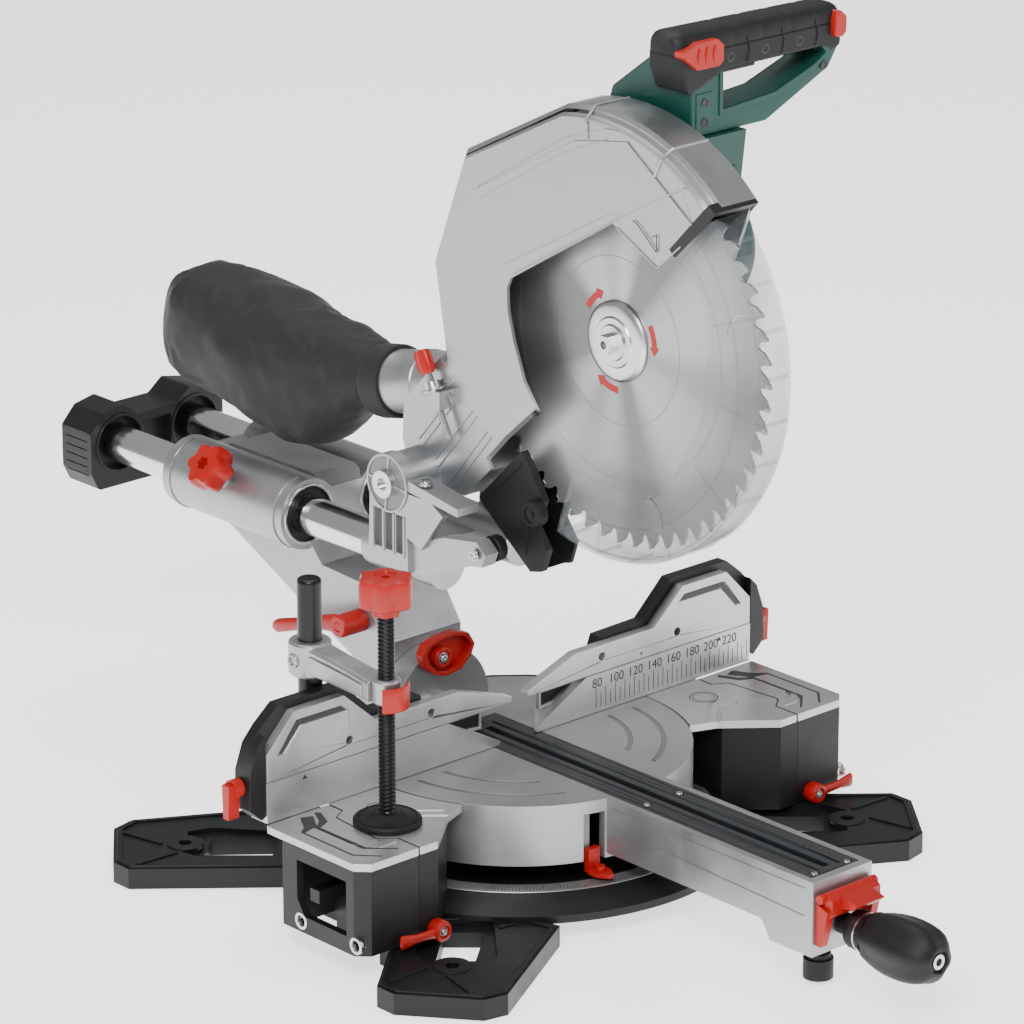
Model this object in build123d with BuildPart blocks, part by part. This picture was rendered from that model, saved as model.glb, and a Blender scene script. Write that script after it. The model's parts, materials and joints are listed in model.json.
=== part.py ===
"""Sliding compound mitre saw for a 305 mm blade, on its own cast feet.

Millimetres. The origin is on the bench, under the turntable's axis. +X is the operator's right,
+Y points away from the operator and +Z up. The head is raised and the blade is upright.
"""
from build123d import *
from math import cos, sin, radians, hypot
import os

# ---- driving dimensions ----------------------------------------------------------------------
TABLE = 90.0             # height of the table's surface above the bench
FIT = 0.05               # radial clearance of a running fit
GAP = 0.4                # clearance between faces that slide past each other

TURNTABLE_R = 131.0
SKIRT_Z = TABLE - 47     # underside of the turntable's skirt
ARM_HALF = 29.5          # half width of the turntable's front arm
ARM_END = -338.0
KERF_HALF = 3.2
BLADE_R = 152.5
BLADE_HALF = 1.4
TEETH = 56

AXIS_Y, AXIS_Z = -107.0, TABLE + 337      # blade axis, parallel to X
PIVOT_Y, PIVOT_Z = 77.0, TABLE + 197      # chopping pivot, parallel to X
RAIL_X, RAIL_Z, RAIL_R = 38.0, TABLE + 137, 15.0
HOUSING_Y0, HOUSING_Y1 = 194.0, 337.0     # the rail housing on the tilting arm
SLEEVE_Y0, SLEEVE_Y1 = 36.0, 113.0        # the sleeves that hold the rails' front ends
TRUNNION_Y = 106.0                        # face between the turntable's trunnion and the arm
TRUNNION_R = 48.0

TABLE_X0, TABLE_X1, TABLE_X2 = 139.0, 187.0, 245.0   # inner edge, split line, outer edge
TABLE_FRONT = -105.0
PLATE = 6.0              # thickness of the side tables' top plates
FENCE_T = 18.0
FENCE_LOW = 31.2         # height of the fixed fence above the table
FENCE_END = 243.5
PLATE_T = 8.0            # thickness of the sliding fence plates

GUARD_X0, GUARD_X1, WALL = -26.0, 16.0, 3.0
GUARD_R = 174.0
BEVEL = 9.0              # depth of the bevel round the guard's left side
SHIELD_R = 160.0         # outer radius of the clear lower guard
SHIELD_X0, SHIELD_X1, SHIELD_T = -16.0, 12.0, 1.6
NOSE_R = 38.0            # bearing nose that the clear guard turns on
SPINDLE_R = 15.0

CLAMP_X, CLAMP_POST_Y, CLAMP_ROD_Y = -178.0, 28.0, -56.0
POST_R = 9.0
BOLT_X, BOLT_Y, BOLT_R = 200.0, 150.0, 4.5           # holes in the feet

SUB = Mode.SUBTRACT
os.makedirs("parts", exist_ok=True)


# ---- helpers ---------------------------------------------------------------------------------
def at_x(x):
    """Plane across X: local x is Y, local y is Z, normal +X."""
    return Plane.YZ.offset(x)


def at_y(y):
    """Plane across Y: local x is X, local y is Z, normal -Y."""
    return Plane.XZ.offset(-y)


def at_z(z):
    return Plane.XY.offset(z)


def outline(plane, points):
    """Closed polygon on a plane."""
    with BuildSketch(plane) as face:
        with BuildLine():
            Polyline(*points, close=True)
        make_face()
    return face.sketch


def slab_x(points, x0, x1, mode=Mode.ADD):
    extrude(outline(at_x(x0), points), amount=x1 - x0, mode=mode)


def slab_y(points, y0, y1, mode=Mode.ADD):
    extrude(outline(at_y(y1), points), amount=y1 - y0, mode=mode)


def slab_z(points, z0, z1, mode=Mode.ADD):
    extrude(outline(at_z(z0), points), amount=z1 - z0, mode=mode)


def rod_x(x0, x1, y, z, r, mode=Mode.ADD):
    with Locations(((x0 + x1) / 2, y, z)):
        Cylinder(r, x1 - x0, rotation=(0, 90, 0), mode=mode)


def rod_y(y0, y1, x, z, r, mode=Mode.ADD):
    with Locations((x, (y0 + y1) / 2, z)):
        Cylinder(r, y1 - y0, rotation=(90, 0, 0), mode=mode)


def rod_z(z0, z1, x, y, r, mode=Mode.ADD):
    with Locations((x, y, (z0 + z1) / 2)):
        Cylinder(r, z1 - z0, mode=mode)


def block(x0, x1, y0, y1, z0, z1, mode=Mode.ADD):
    with Locations(((x0 + x1) / 2, (y0 + y1) / 2, (z0 + z1) / 2)):
        Box(x1 - x0, y1 - y0, z1 - z0, mode=mode)


def mirrored(points, side):
    """Mirror plan or front-view points in X for the left (-1) or right (1) side."""
    return [(side * x, y) for x, y in points]


def save(builder, name):
    builder.part.label = name
    export_step(builder.part, f"parts/{name}.step")


# ---- base ------------------------------------------------------------------------------------
RING_R, RING_Z0, RING_Z1 = 172.0, 15.0, 30.0
WELL_R, FLOOR_Z = 134.0, 24.0
PIN_R = 15.0
FOOT_T = 16.0
SPLIT = [(187, 20), (187, -16), (199, -23), (203, -72), (191, -82), (191, TABLE_FRONT)]
BLOCK = SPLIT + [(173, TABLE_FRONT), (139, -76), (139, 20)]

with BuildPart() as base_casting:
    with BuildSketch(Plane.XZ):
        with BuildLine():
            Polyline((PIN_R, RING_Z0), (RING_R, RING_Z0), (RING_R, 21), (153, RING_Z1),
                     (WELL_R, RING_Z1), (WELL_R, FLOOR_Z), (PIN_R, FLOOR_Z), close=True)
        make_face()
    revolve(axis=Axis.Z)
    rod_z(RING_Z0, 72, 0, 0, PIN_R)
    for side in (-1, 1):
        # block that carries the side table, hollow from below
        slab_z(mirrored(BLOCK, side), 0.5, TABLE - PLATE)
        inner = [(183, 15), (183, -20), (195, -30), (198, -70), (186, -80), (186, -100),
                 (175, -100), (145, -74), (145, 15)]
        slab_z(mirrored(inner, side), -1, TABLE - PLATE - 6, SUB)
        # window for the extension's guide bar
        x0, x1 = sorted((side * 180, side * 210))
        block(x0, x1, -56.5, -43.5, 43.5, 56.5, SUB)
        # bracket under the extension, for its lock
        x0, x1 = sorted((side * 180, side * 216))
        block(x0, x1, -104, -90, 2, 17)
        for end in (-1, 1):
            # foot: a tapered leg with a rounded end, a window and a bolt hole
            leg = [(105, 118), (172, 62), (262, 140), (262, 158), (222, 208), (203, 212), (96, 150)]
            slab_z([(side * x, end * y) for x, y in leg], 0, FOOT_T)
            hole = [(138, 116), (160, 96), (198, 130), (176, 148)]
            slab_z([(side * x, end * y) for x, y in hole], -1, FOOT_T + 1, SUB)
            rim = [(126, 112), (164, 80), (206, 117), (212, 138), (184, 166), (166, 160)]
            slab_z([(side * x, end * y) for x, y in rim], FOOT_T - 4, FOOT_T + 1, SUB)
    with Locations(*[(i * BOLT_X, j * BOLT_Y, 0) for i in (-1, 1) for j in (-1, 1)]):
        Cylinder(11, 12, align=(Align.CENTER, Align.CENTER, Align.MIN))
        Cylinder(BOLT_R, 60, mode=SUB)
    # rear wall behind the turntable
    rear = [(r * cos(radians(a)), r * sin(radians(a))) for r, angles in
            ((166, range(35, 146, 10)), (153, range(145, 34, -10))) for a in angles]
    slab_z(rear, FLOOR_Z, TABLE - 12)
    # tail ribs from the blocks to the rear wall
    for side in (-1, 1):
        slab_z(mirrored([(139, 20), (187, 20), (187, 34), (150, 62), (134, 94), (124, 90), (139, 60)],
                        side), RING_Z0, TABLE - 12)
    rod_z(FLOOR_Z + 0.001, TABLE, 0, 0, WELL_R, SUB)
    rod_z(FLOOR_Z, 72, 0, 0, PIN_R)
save(base_casting, "base_casting")

with BuildPart() as mitre_scale:
    for radius, mode in ((150, Mode.ADD), (135.5, SUB)):
        with Locations((0, 0, RING_Z1)):
            Cylinder(radius, 1, align=(Align.CENTER, Align.CENTER, Align.MIN), mode=mode)
    block(-160, 160, -20, 160, 25, 40, SUB)
    for side in (-1, 1):
        slab_z(mirrored([(x + (-1 if x < 150 else 1), y) for x, y in BLOCK], side), 25, 40, SUB)
        slab_z([(side * x, -y) for x, y in
                [(105, 118), (172, 62), (262, 140), (262, 158), (222, 208), (203, 212), (96, 150)]],
               25, 40, SUB)
save(mitre_scale, "mitre_scale")

for side, word in ((-1, "left"), (1, "right")):
    with BuildPart() as table_top:
        slab_z(mirrored([(x - (1.2 if x > 180 else 0), y) for x, y in SPLIT]
                        + [(173, TABLE_FRONT), (136, -74), (100, -60), (100, 20)], side),
               TABLE - PLATE, TABLE)
        rod_z(TABLE - 10, TABLE + 1, 0, 0, TURNTABLE_R + 1.5, SUB)
        # plan grooves parallel to the outline
        for step in (0, 12):
            path = [(132, -80 + step), (158, -57 + step), (175, -57 + step)]
            groove = path + [(x, y + 3) for x, y in reversed(path)]
            slab_z(mirrored(groove, side), TABLE - 1.2, TABLE + 1, SUB)
    save(table_top, f"table_top_{word}")

# ---- fence -----------------------------------------------------------------------------------
for side, word in ((-1, "left"), (1, "right")):
    bottom, top = TABLE + GAP, TABLE + FENCE_LOW
    with BuildPart() as fence_lower:
        slab_y(mirrored([(19, bottom), (17, bottom + 2.6), (70, top), (FENCE_END, top),
                         (FENCE_END, bottom)], side), 0, FENCE_T)
        # the inner end is cut back behind, to clear the blade at full mitre
        slab_z(mirrored([(10, 0.8), (17.5, 0.8), (45, 30), (10, 30)], side), 85, 125, SUB)
        # screw flange behind, and the pads that stand on the side table
        slab_z(mirrored([(150, FENCE_T), (236, FENCE_T), (230, 38), (154, 38)], side),
               bottom, bottom + 8)
        slab_z(mirrored([(143, 2), (184, 2), (184, 16), (143, 16)], side), TABLE, bottom)
        # socket for the clamp's post
        rod_z(bottom, TABLE + 30, side * abs(CLAMP_X), CLAMP_POST_Y, POST_R + 6)
        rod_z(TABLE + 0.2, TABLE + 60, side * abs(CLAMP_X), CLAMP_POST_Y, POST_R + FIT, SUB)
        for x in (156, 205, 224):
            rod_z(TABLE, TABLE + 12, side * x, 29 if x > 190 else 31, 3.4, SUB)
    save(fence_lower, f"fence_lower_{word}")

    with BuildPart() as fence_upper:
        low = top + GAP
        slab_y(mirrored([(243, low), (243, TABLE + 53), (217, TABLE + 80), (170, TABLE + 80),
                         (140, TABLE + 53.5), (59, TABLE + 53.5), (10 if side > 0 else 6, TABLE + 36),
                         (10 if side > 0 else 6, low)], side), 0, PLATE_T)
        for x in (165, 86):
            rod_y(-1, PLATE_T + 1, side * x, TABLE + 44, 3.2, SUB)
        # shallow groove that follows the raised end
        slab_y(mirrored([(233, TABLE + 50), (215, TABLE + 73), (172, TABLE + 73), (166, TABLE + 68),
                         (211, TABLE + 68), (227, TABLE + 50)], side), -1, 1.2, SUB)
    save(fence_upper, f"fence_upper_{word}")

    with BuildPart() as fence_cap:
        slab_y(mirrored([(244, low), (244, TABLE + 6), (248, TABLE + 4), (259, TABLE + 14),
                         (258, TABLE + 42), (251, TABLE + 61), (241, TABLE + 72), (225, TABLE + 85),
                         (165, TABLE + 85), (136, TABLE + 58), (90, TABLE + 57), (80, low)], side),
               PLATE_T + 0.2, FENCE_T)
        slab_y(mirrored([(244, TABLE + 6), (248, TABLE + 4), (259, TABLE + 14), (258, TABLE + 42),
                         (251, TABLE + 61), (244, TABLE + 68)], side), 0.5, PLATE_T + 0.2)
        # tongue that hooks behind the fixed fence
        slab_y(mirrored([(240, TABLE + 12), (205, TABLE + 12), (205, TABLE + 44), (240, TABLE + 44)],
                        side), FENCE_T + GAP, FENCE_T + 5)
        slab_y(mirrored([(240, low), (205, low), (205, TABLE + 44), (240, TABLE + 44)], side),
               PLATE_T + 0.2, FENCE_T + 5)
    save(fence_cap, f"fence_cap_{word}")

    with BuildPart() as fence_lever:
        x0, x1 = sorted((side * 259.4, side * 267))
        rod_x(x0, x1, 12, TABLE + 30, 7)
        x0, x1 = sorted((side * 262, side * 272))
        slab_x([(8, TABLE + 34), (16, TABLE + 34), (15, TABLE + 8), (9, TABLE + 8)], x0, x1)
    save(fence_lever, f"fence_lever_{word}")

with BuildPart() as fence_screws:
    for side in (-1, 1):
        for x, y in ((156, 31), (205, 29), (224, 29)):
            rod_z(TABLE + GAP + 8, TABLE + GAP + 12.5, side * x, y, 5.5)
            rod_z(TABLE + GAP, TABLE + GAP + 8, side * x, y, 3.2)
            rod_z(TABLE + 10, TABLE + 14, side * x, y, 2.5, SUB)
save(fence_screws, "fence_screws")

# ---- side table extensions -------------------------------------------------------------------
EDGE = [(x + GAP, y) for x, y in SPLIT[1:]] + [(236, TABLE_FRONT), (TABLE_X2, -96)]
for side, word in ((-1, "left"), (1, "right")):
    with BuildPart() as extension:
        slab_z(mirrored(EDGE + [(TABLE_X2, -18), (200, -18)], side), 19, TABLE - PLATE)
        # hollow from below, with windows in the outer side and towards the bench
        slab_z(mirrored([(204, -34), (208, -74), (197, -86), (197, -99), (234, -99), (239, -93),
                         (239, -26), (204, -26)], side), 10, TABLE - PLATE - 6, SUB)
        x0, x1 = sorted((side * 237, side * 250))
        slab_x([(-88, 32), (-42, 32), (-34, 44), (-34, 74), (-88, 74)], x0, x1, SUB)
        slab_y(mirrored([(205, 32), (230, 32), (230, 74), (205, 74)], side), -24, -10, SUB)
        # guide bar into the base
        x0, x1 = sorted((side * 147, side * 242))
        block(x0, x1, -55, -45, 45, 55)
        x0, x1 = sorted((side * 230, side * 250))
        for y in (-38, -98):
            rod_x(x0, x1, y, 27.5, 4.2, SUB)
    save(extension, f"extension_{word}")

    with BuildPart() as extension_top:
        slab_z(mirrored([(x + GAP / 2, y) for x, y in SPLIT[1:]]
                        + [(236, TABLE_FRONT), (TABLE_X2, -96), (TABLE_X2, -1.2), (187.6, -1.2)], side),
               TABLE - PLATE, TABLE)
        for step in (0, 12):
            path = [(196, -88 + step), (212, -88 + step), (222, -79 + step), (222, -20 + step)]
            groove = path + [(x - 3 if x == 222 else x, y + 3) for x, y in reversed(path)]
            slab_z(mirrored(groove, side), TABLE - 1.2, TABLE + 1, SUB)
    save(extension_top, f"extension_top_{word}")

    hub_x = -177.0 if side < 0 else 205.0
    with BuildPart() as extension_lever:
        rod_y(TABLE_FRONT - 12, TABLE_FRONT - 0.6, hub_x, 24, 8)
        slab_y([(hub_x, 28), (hub_x + side * 30, 27), (hub_x + side * 38, 31), (hub_x + side * 38, 19),
                (hub_x + side * 30, 21), (hub_x, 20)], TABLE_FRONT - 11, TABLE_FRONT - 4)
        rod_y(TABLE_FRONT - 14, TABLE_FRONT - 8, hub_x, 24, 3.5, SUB)
    save(extension_lever, f"extension_lever_{word}")

# ---- turntable -------------------------------------------------------------------------------
with BuildPart() as turntable:
    rod_z(SKIRT_Z, TABLE, 0, 0, TURNTABLE_R)
    rod_z(SKIRT_Z - 1, TABLE - 9, 0, 0, TURNTABLE_R - 6, SUB)
    # front arm: hollow, with a deeper end
    slab_x([(-120, TABLE), (ARM_END, TABLE), (ARM_END, 33), (-296, 33), (-289, 45), (-285, 47),
            (-120, 47)], -ARM_HALF, ARM_HALF)
    slab_x([(-60, 58), (-326, 58), (-326, 32), (-300, 30), (-290, 44), (-60, 44)], -24, 24, SUB)
    # bridge that holds the front foot's thread
    block(-24, 24, -326, -304, 48, 58)
    rod_z(40, 62, 0, -316, 4.5 + FIT, SUB)
    # hub on the base's pin
    rod_z(SKIRT_Z, TABLE - 5, 0, 0, 26)
    rod_z(SKIRT_Z - 1, 72.5, 0, 0, PIN_R + FIT, SUB)
    # seat for the kerf insert, and the trough that the blade drops into
    block(-24, 24, -331, 52, TABLE - 4.5, TABLE + 1, SUB)
    block(-11, 11, -324, -16.5, 60, TABLE, SUB)
    block(-11, 11, -20, 46, 74, TABLE, SUB)
    # circular grooves
    for radius in (84, 109):
        with BuildSketch(at_z(TABLE - 1.2)):
            Circle(radius + 2)
            Circle(radius - 2, mode=SUB)
            Rectangle(90, 400, mode=SUB)
            with Locations((0, 100)):
                Rectangle(400, 220, mode=SUB)
        extrude(amount=2, mode=SUB)
    # trunnion for the tilting arm
    rod_y(86, TRUNNION_Y, 0, TABLE, TRUNNION_R)
    rod_y(TRUNNION_Y, 140, 0, TABLE, TRUNNION_R + 1.5, SUB)
    rod_y(80, 140, 0, TABLE, 10, SUB)
    block(-14, 14, 60, 86, 76, 104, SUB)
    # notch in the skirt for the pointer
    block(-47, -30.5, -140, -119, 30, TABLE - 10, SUB)
save(turntable, "turntable")

INSERT_SCREWS = [(x, y) for x in (-16.3, 16.3) for y in (-156, -334 + 8)] + [(0, 44)]
with BuildPart() as kerf_insert:
    block(-23.8, 23.8, -330.8, 51.8, TABLE - 4.5, TABLE)
    block(-KERF_HALF, KERF_HALF, -322, 34, TABLE - 10, TABLE + 1, SUB)
    for side in (-1, 1):
        x0, x1 = sorted((side * 9, side * 11))
        block(x0, x1, -324, 40, TABLE - 1, TABLE + 1, SUB)
    with Locations(*[(x, y, TABLE) for x, y in INSERT_SCREWS]):
        CounterBoreHole(2.2, 3.6, 2.0, depth=10)
save(kerf_insert, "kerf_insert")

with BuildPart() as insert_screws:
    for x, y in INSERT_SCREWS:
        rod_z(TABLE - 2.0, TABLE - 0.3, x, y, 3.5)
        rod_z(TABLE - 4.5, TABLE - 2.0, x, y, 2.1)
        block(x - 2.4, x + 2.4, y - 0.5, y + 0.5, TABLE - 1.2, TABLE, SUB)
save(insert_screws, "insert_screws")

with BuildPart() as mitre_pointer:
    slab_z([(-46, -124.8), (-31, -124.8), (-31, -134), (-36.5, -143), (-40.5, -143), (-46, -134)],
           34, 37)
    block(-44, -33, -124.8, -120, 34, 52)
    rod_z(36, 40.5, -38.5, -131, 3.6)
save(mitre_pointer, "mitre_pointer")

with BuildPart() as bevel_pivot_pin:
    rod_y(78, TRUNNION_Y + 24, 0, TABLE, 10)
    with BuildSketch(at_y(78)):
        with Locations((0, TABLE)):
            RegularPolygon(13, 6)
    extrude(amount=-6)
    rod_y(60, 84, 0, TABLE, 14, SUB)
    rod_y(76, 86, 0, TABLE, 13)
save(bevel_pivot_pin, "bevel_pivot_pin")

GRIP_Z = TABLE - 38
with BuildPart() as mitre_grip:
    with BuildSketch(Plane.YZ):
        with BuildLine():
            Polyline((-352, GRIP_Z), (-352, GRIP_Z + 14), (-362, GRIP_Z + 15), (-374, GRIP_Z + 19))
            Spline((-374, GRIP_Z + 19), (-398, GRIP_Z + 23), (-422, GRIP_Z + 20),
                   (-431, GRIP_Z + 11))
            Polyline((-431, GRIP_Z + 11), (-433, GRIP_Z), (-352, GRIP_Z))
        make_face()
    revolve(axis=Axis((0, 0, GRIP_Z), (0, 1, 0)))
    rod_y(-352, ARM_END - 0.3, 0, GRIP_Z, 8)
    rod_y(-440, -424, 0, GRIP_Z, 4, SUB)
save(mitre_grip, "mitre_grip")

with BuildPart() as detent_lever:
    # red latch above the grip, hinged across the arm's end
    slab_x([(ARM_END - 0.5, 78), (ARM_END - 0.5, 66), (-348, 64), (-352, 68), (-352, 78), (-345, 82)],
           -24, 24)
    slab_x([(-350, 70), (-362, 72), (-366, 76), (-350, 80)], -14, 14)
    for side in (-1, 1):
        x0, x1 = sorted((side * 20, side * 27))
        slab_x([(ARM_END - 0.5, 74), (ARM_END - 0.5, 42), (-344, 42), (-350, 70)], x0, x1)
    rod_x(-28, 28, -342.5, 78, 3.5)
save(detent_lever, "detent_lever")

with BuildPart() as front_foot:
    rod_z(3, 18, 0, -316, 11)
    rod_z(18, 22, 0, -316, 9)
    rod_z(22, 57.5, 0, -316, 4.5)
save(front_foot, "front_foot")

# ---- clamp -----------------------------------------------------------------------------------
with BuildPart() as clamp_post:
    rod_z(TABLE + 0.4, TABLE + 165, CLAMP_X, CLAMP_POST_Y, POST_R)
    chamfer(clamp_post.edges().group_by(Axis.Z)[-1], 1.2)
save(clamp_post, "clamp_post")

ARM_Z0, ARM_Z1 = TABLE + 92, TABLE + 118
with BuildPart() as clamp_arm:
    rod_z(ARM_Z0, ARM_Z1, CLAMP_X, CLAMP_POST_Y, POST_R + 7)
    rod_z(ARM_Z0 - 1, ARM_Z1 + 1, CLAMP_X, CLAMP_POST_Y, POST_R + FIT, SUB)
    slab_x([(CLAMP_POST_Y - 13, ARM_Z0 + 3), (CLAMP_POST_Y - 13, ARM_Z1 - 2),
            (CLAMP_ROD_Y + 12, ARM_Z1 - 10), (CLAMP_ROD_Y - 10, ARM_Z1 - 10),
            (CLAMP_ROD_Y - 10, ARM_Z0 + 1), (CLAMP_ROD_Y + 12, ARM_Z0 + 1)], CLAMP_X - 11, CLAMP_X + 11)
    rod_z(ARM_Z0, ARM_Z1 + 2, CLAMP_X, CLAMP_ROD_Y, 6.9, SUB)
    rod_z(ARM_Z0, ARM_Z1 + 2, CLAMP_X, CLAMP_POST_Y, POST_R + FIT, SUB)
    rod_y(CLAMP_ROD_Y - 12, CLAMP_ROD_Y - 4, CLAMP_X, ARM_Z0 + 8, 6, SUB)
    rod_x(CLAMP_X - 18, CLAMP_X - 8, CLAMP_POST_Y, ARM_Z0 + 13, 3.2, SUB)
save(clamp_arm, "clamp_arm")

with BuildPart() as clamp_button:
    rod_y(CLAMP_ROD_Y - 16, CLAMP_ROD_Y - 10, CLAMP_X, ARM_Z0 + 8, 5.8)
    block(CLAMP_X - 9, CLAMP_X + 9, CLAMP_ROD_Y - 20, CLAMP_ROD_Y - 14, ARM_Z0 - 2, ARM_Z0 + 17)
save(clamp_button, "clamp_button")

with BuildPart() as clamp_screw:
    rod_z(TABLE + 10, TABLE + 160, CLAMP_X, CLAMP_ROD_Y, 6.5)
save(clamp_screw, "clamp_screw")

with BuildPart() as clamp_knob:
    with BuildSketch(at_z(TABLE + 160)):
        with Locations((CLAMP_X, CLAMP_ROD_Y)):
            Circle(18.5)
            with PolarLocations(14.5, 6):
                Circle(6.3)
    extrude(amount=30)
    chamfer(clamp_knob.edges().group_by(Axis.Z)[-1], 1.5)
save(clamp_knob, "clamp_knob")

with BuildPart() as clamp_pad:
    rod_z(TABLE + GAP, TABLE + 5, CLAMP_X, CLAMP_ROD_Y, 25)
    with Locations((CLAMP_X, CLAMP_ROD_Y, TABLE + 5)):
        Cone(20, 10, 5, align=(Align.CENTER, Align.CENTER, Align.MIN))
save(clamp_pad, "clamp_pad")

# ---- tilting arm and rail housing ------------------------------------------------------------
BORE_R = 22.0
with BuildPart() as tilt_arm:
    rod_y(TRUNNION_Y + GAP, TRUNNION_Y + 22, 0, TABLE, TRUNNION_R)
    slab_x([(TRUNNION_Y + GAP, 122), (TRUNNION_Y + 22, 118), (165, 135), (292, 196), (292, 212),
            (HOUSING_Y0, 206), (180, 190), (138, 188), (128, 176), (TRUNNION_Y + GAP, 145)], -38, 38)
    for side in (-1, 1):
        rod_y(HOUSING_Y0, HOUSING_Y1, side * RAIL_X, RAIL_Z, 28)
    block(-RAIL_X, RAIL_X, HOUSING_Y0, HOUSING_Y1, RAIL_Z - 20, RAIL_Z + 17)
    slab_x([(HOUSING_Y0, RAIL_Z + 16), (HOUSING_Y1 - 10, RAIL_Z + 16), (HOUSING_Y1 - 30, RAIL_Z + 25),
            (HOUSING_Y0 + 14, RAIL_Z + 25)], -20, 20)
    for side in (-1, 1):
        rod_y(HOUSING_Y0 - 1, HOUSING_Y1 + 1, side * RAIL_X, RAIL_Z, BORE_R, SUB)
    rod_y(TRUNNION_Y, TRUNNION_Y + 30, 0, TABLE, 10 + FIT, SUB)
    # seat of the rail lock, square to the left cylinder
    with Locations(Plane((-RAIL_X, 268, RAIL_Z), z_dir=(-0.8, 0, 0.6))):
        Cylinder(9, 33, align=(Align.CENTER, Align.CENTER, Align.MIN))
    rod_y(HOUSING_Y0 - 1, HOUSING_Y1 + 1, -RAIL_X, RAIL_Z, BORE_R, SUB)
    with Locations(Plane((-RAIL_X, 268, RAIL_Z), z_dir=(-0.8, 0, 0.6))):
        Cylinder(4 + FIT, 60, align=(Align.CENTER, Align.CENTER, Align.MIN), mode=SUB)
save(tilt_arm, "tilt_arm")

with BuildPart() as rail_bushes:
    for side in (-1, 1):
        for y0 in (HOUSING_Y0 + 3, HOUSING_Y1 - 21):
            rod_y(y0, y0 + 18, side * RAIL_X, RAIL_Z, BORE_R)
            rod_y(y0 - 1, y0 + 19, side * RAIL_X, RAIL_Z, RAIL_R + FIT, SUB)
save(rail_bushes, "rail_bushes")

with BuildPart() as rail_lock_knob:
    with Locations(Plane((-RAIL_X, 268, RAIL_Z), z_dir=(-0.8, 0, 0.6))):
        with Locations((0, 0, 16)):
            Cylinder(4, 20, align=(Align.CENTER, Align.CENTER, Align.MIN))
    with BuildSketch(Plane((-RAIL_X - 0.8 * 34, 268, RAIL_Z + 0.6 * 34), z_dir=(-0.8, 0, 0.6))):
        RegularPolygon(17, 6)
        with PolarLocations(15.5, 6):
            Circle(3.2)
    extrude(amount=20)
save(rail_lock_knob, "rail_lock_knob")

with BuildPart() as bevel_lock_lever:
    rod_x(-54, -38.5, 134, 158, 9)
    slab_x([(128, 164), (150, 164), (206, 146), (214, 139), (210, 132), (200, 134), (146, 150),
            (128, 151)], -62, -54)
save(bevel_lock_lever, "bevel_lock_lever")

with BuildPart() as bevel_stop_lever:
    slab_y([(-30, 140), (-22, 152), (2, 155), (20, 146), (24, 136), (14, 122), (-8, 120), (-4, 127),
            (6, 130), (8, 138), (-4, 144), (-18, 141), (-24, 133)], 74, 82)
    rod_y(70, 85.6, -8, 136, 9)
save(bevel_stop_lever, "bevel_stop_lever")

# ---- carriage: rails, rear cap and the head's bracket ----------------------------------------
RAIL_Y0, RAIL_Y1 = 52.0, 455.0
CAP_Y0, CAP_Y1 = 425.0, 462.0
for side, word in ((-1, "left"), (1, "right")):
    with BuildPart() as rail:
        rod_y(RAIL_Y0, RAIL_Y1, side * RAIL_X, RAIL_Z, RAIL_R)
    save(rail, f"rail_{word}")

with BuildPart() as rail_end_cap:
    slab_y([(-67, 206), (-60, 192), (60, 192), (67, 206), (67, 240), (54, 254), (34, 258), (20, 247),
            (-20, 247), (-34, 258), (-54, 254), (-67, 240)], CAP_Y0, CAP_Y1)
    fillet(rail_end_cap.edges().filter_by(Axis.Y), 4)
    for side in (-1, 1):
        rod_y(CAP_Y0 - 1, CAP_Y0 + 8, side * RAIL_X, RAIL_Z, 22, SUB)
        rod_y(CAP_Y0, RAIL_Y1, side * RAIL_X, RAIL_Z, RAIL_R, SUB)
    block(-14, 14, CAP_Y0 - 1, CAP_Y0 + 10, 204, 240, SUB)
save(rail_end_cap, "rail_end_cap")

EAR_X0, EAR_X1 = 50.0, 60.0
with BuildPart() as head_bracket:
    for side in (-1, 1):
        rod_y(SLEEVE_Y0, SLEEVE_Y1, side * RAIL_X, RAIL_Z, 17.8)
        x0, x1 = sorted((side * EAR_X0, side * EAR_X1))
        rod_x(x0, x1, PIVOT_Y, PIVOT_Z, 22.6)
        slab_x([(55, RAIL_Z - 4), (99, RAIL_Z - 4), (97, PIVOT_Z), (57, PIVOT_Z)], x0, x1)
        x0, x1 = sorted((side * 40, side * EAR_X1))
        block(x0, x1, 55, 99, RAIL_Z - 6, RAIL_Z + 14)
    block(-RAIL_X, RAIL_X, 70, 106, RAIL_Z - 9, RAIL_Z + 5)
    # lightening pockets in the left ear's outer face, between ribs
    for z0, z1 in ((RAIL_Z + 8, PIVOT_Z - 22),):
        for y0 in (59, 71, 83):
            block(-61, -54, y0, y0 + 9, z0, z1, SUB)
    for angle in (45, 135, 225, 315):
        y = PIVOT_Y + 15.5 * cos(radians(angle))
        z = PIVOT_Z + 15.5 * sin(radians(angle))
        rod_x(-61, -54, y, z, 4.2, SUB)
        rod_x(54, 61, y, z, 4.2, SUB)
    # stop plate in front of the left ear, and the arm that carries the link roller
    slab_x([(55, 296 - 2), (55, 286), (0, 280), (0, 286)], -60, -40)
    slab_x([(57, 284), (57, 250), (40, 244), (16, 276), (30, 284)], -60, -54)
    slab_x([(56, 244), (56, 228), (30, 226), (-10, 244), (-22, 246), (-26, 256), (-16, 264),
            (20, 258)], -56, -43)
    for side in (-1, 1):
        rod_y(RAIL_Y0, SLEEVE_Y1 + 1, side * RAIL_X, RAIL_Z, RAIL_R, SUB)
    rod_x(-70, 70, PIVOT_Y, PIVOT_Z, 8, SUB)
    rod_x(-60, -42, -16, 255, 3.5, SUB)
save(head_bracket, "head_bracket")

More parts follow.
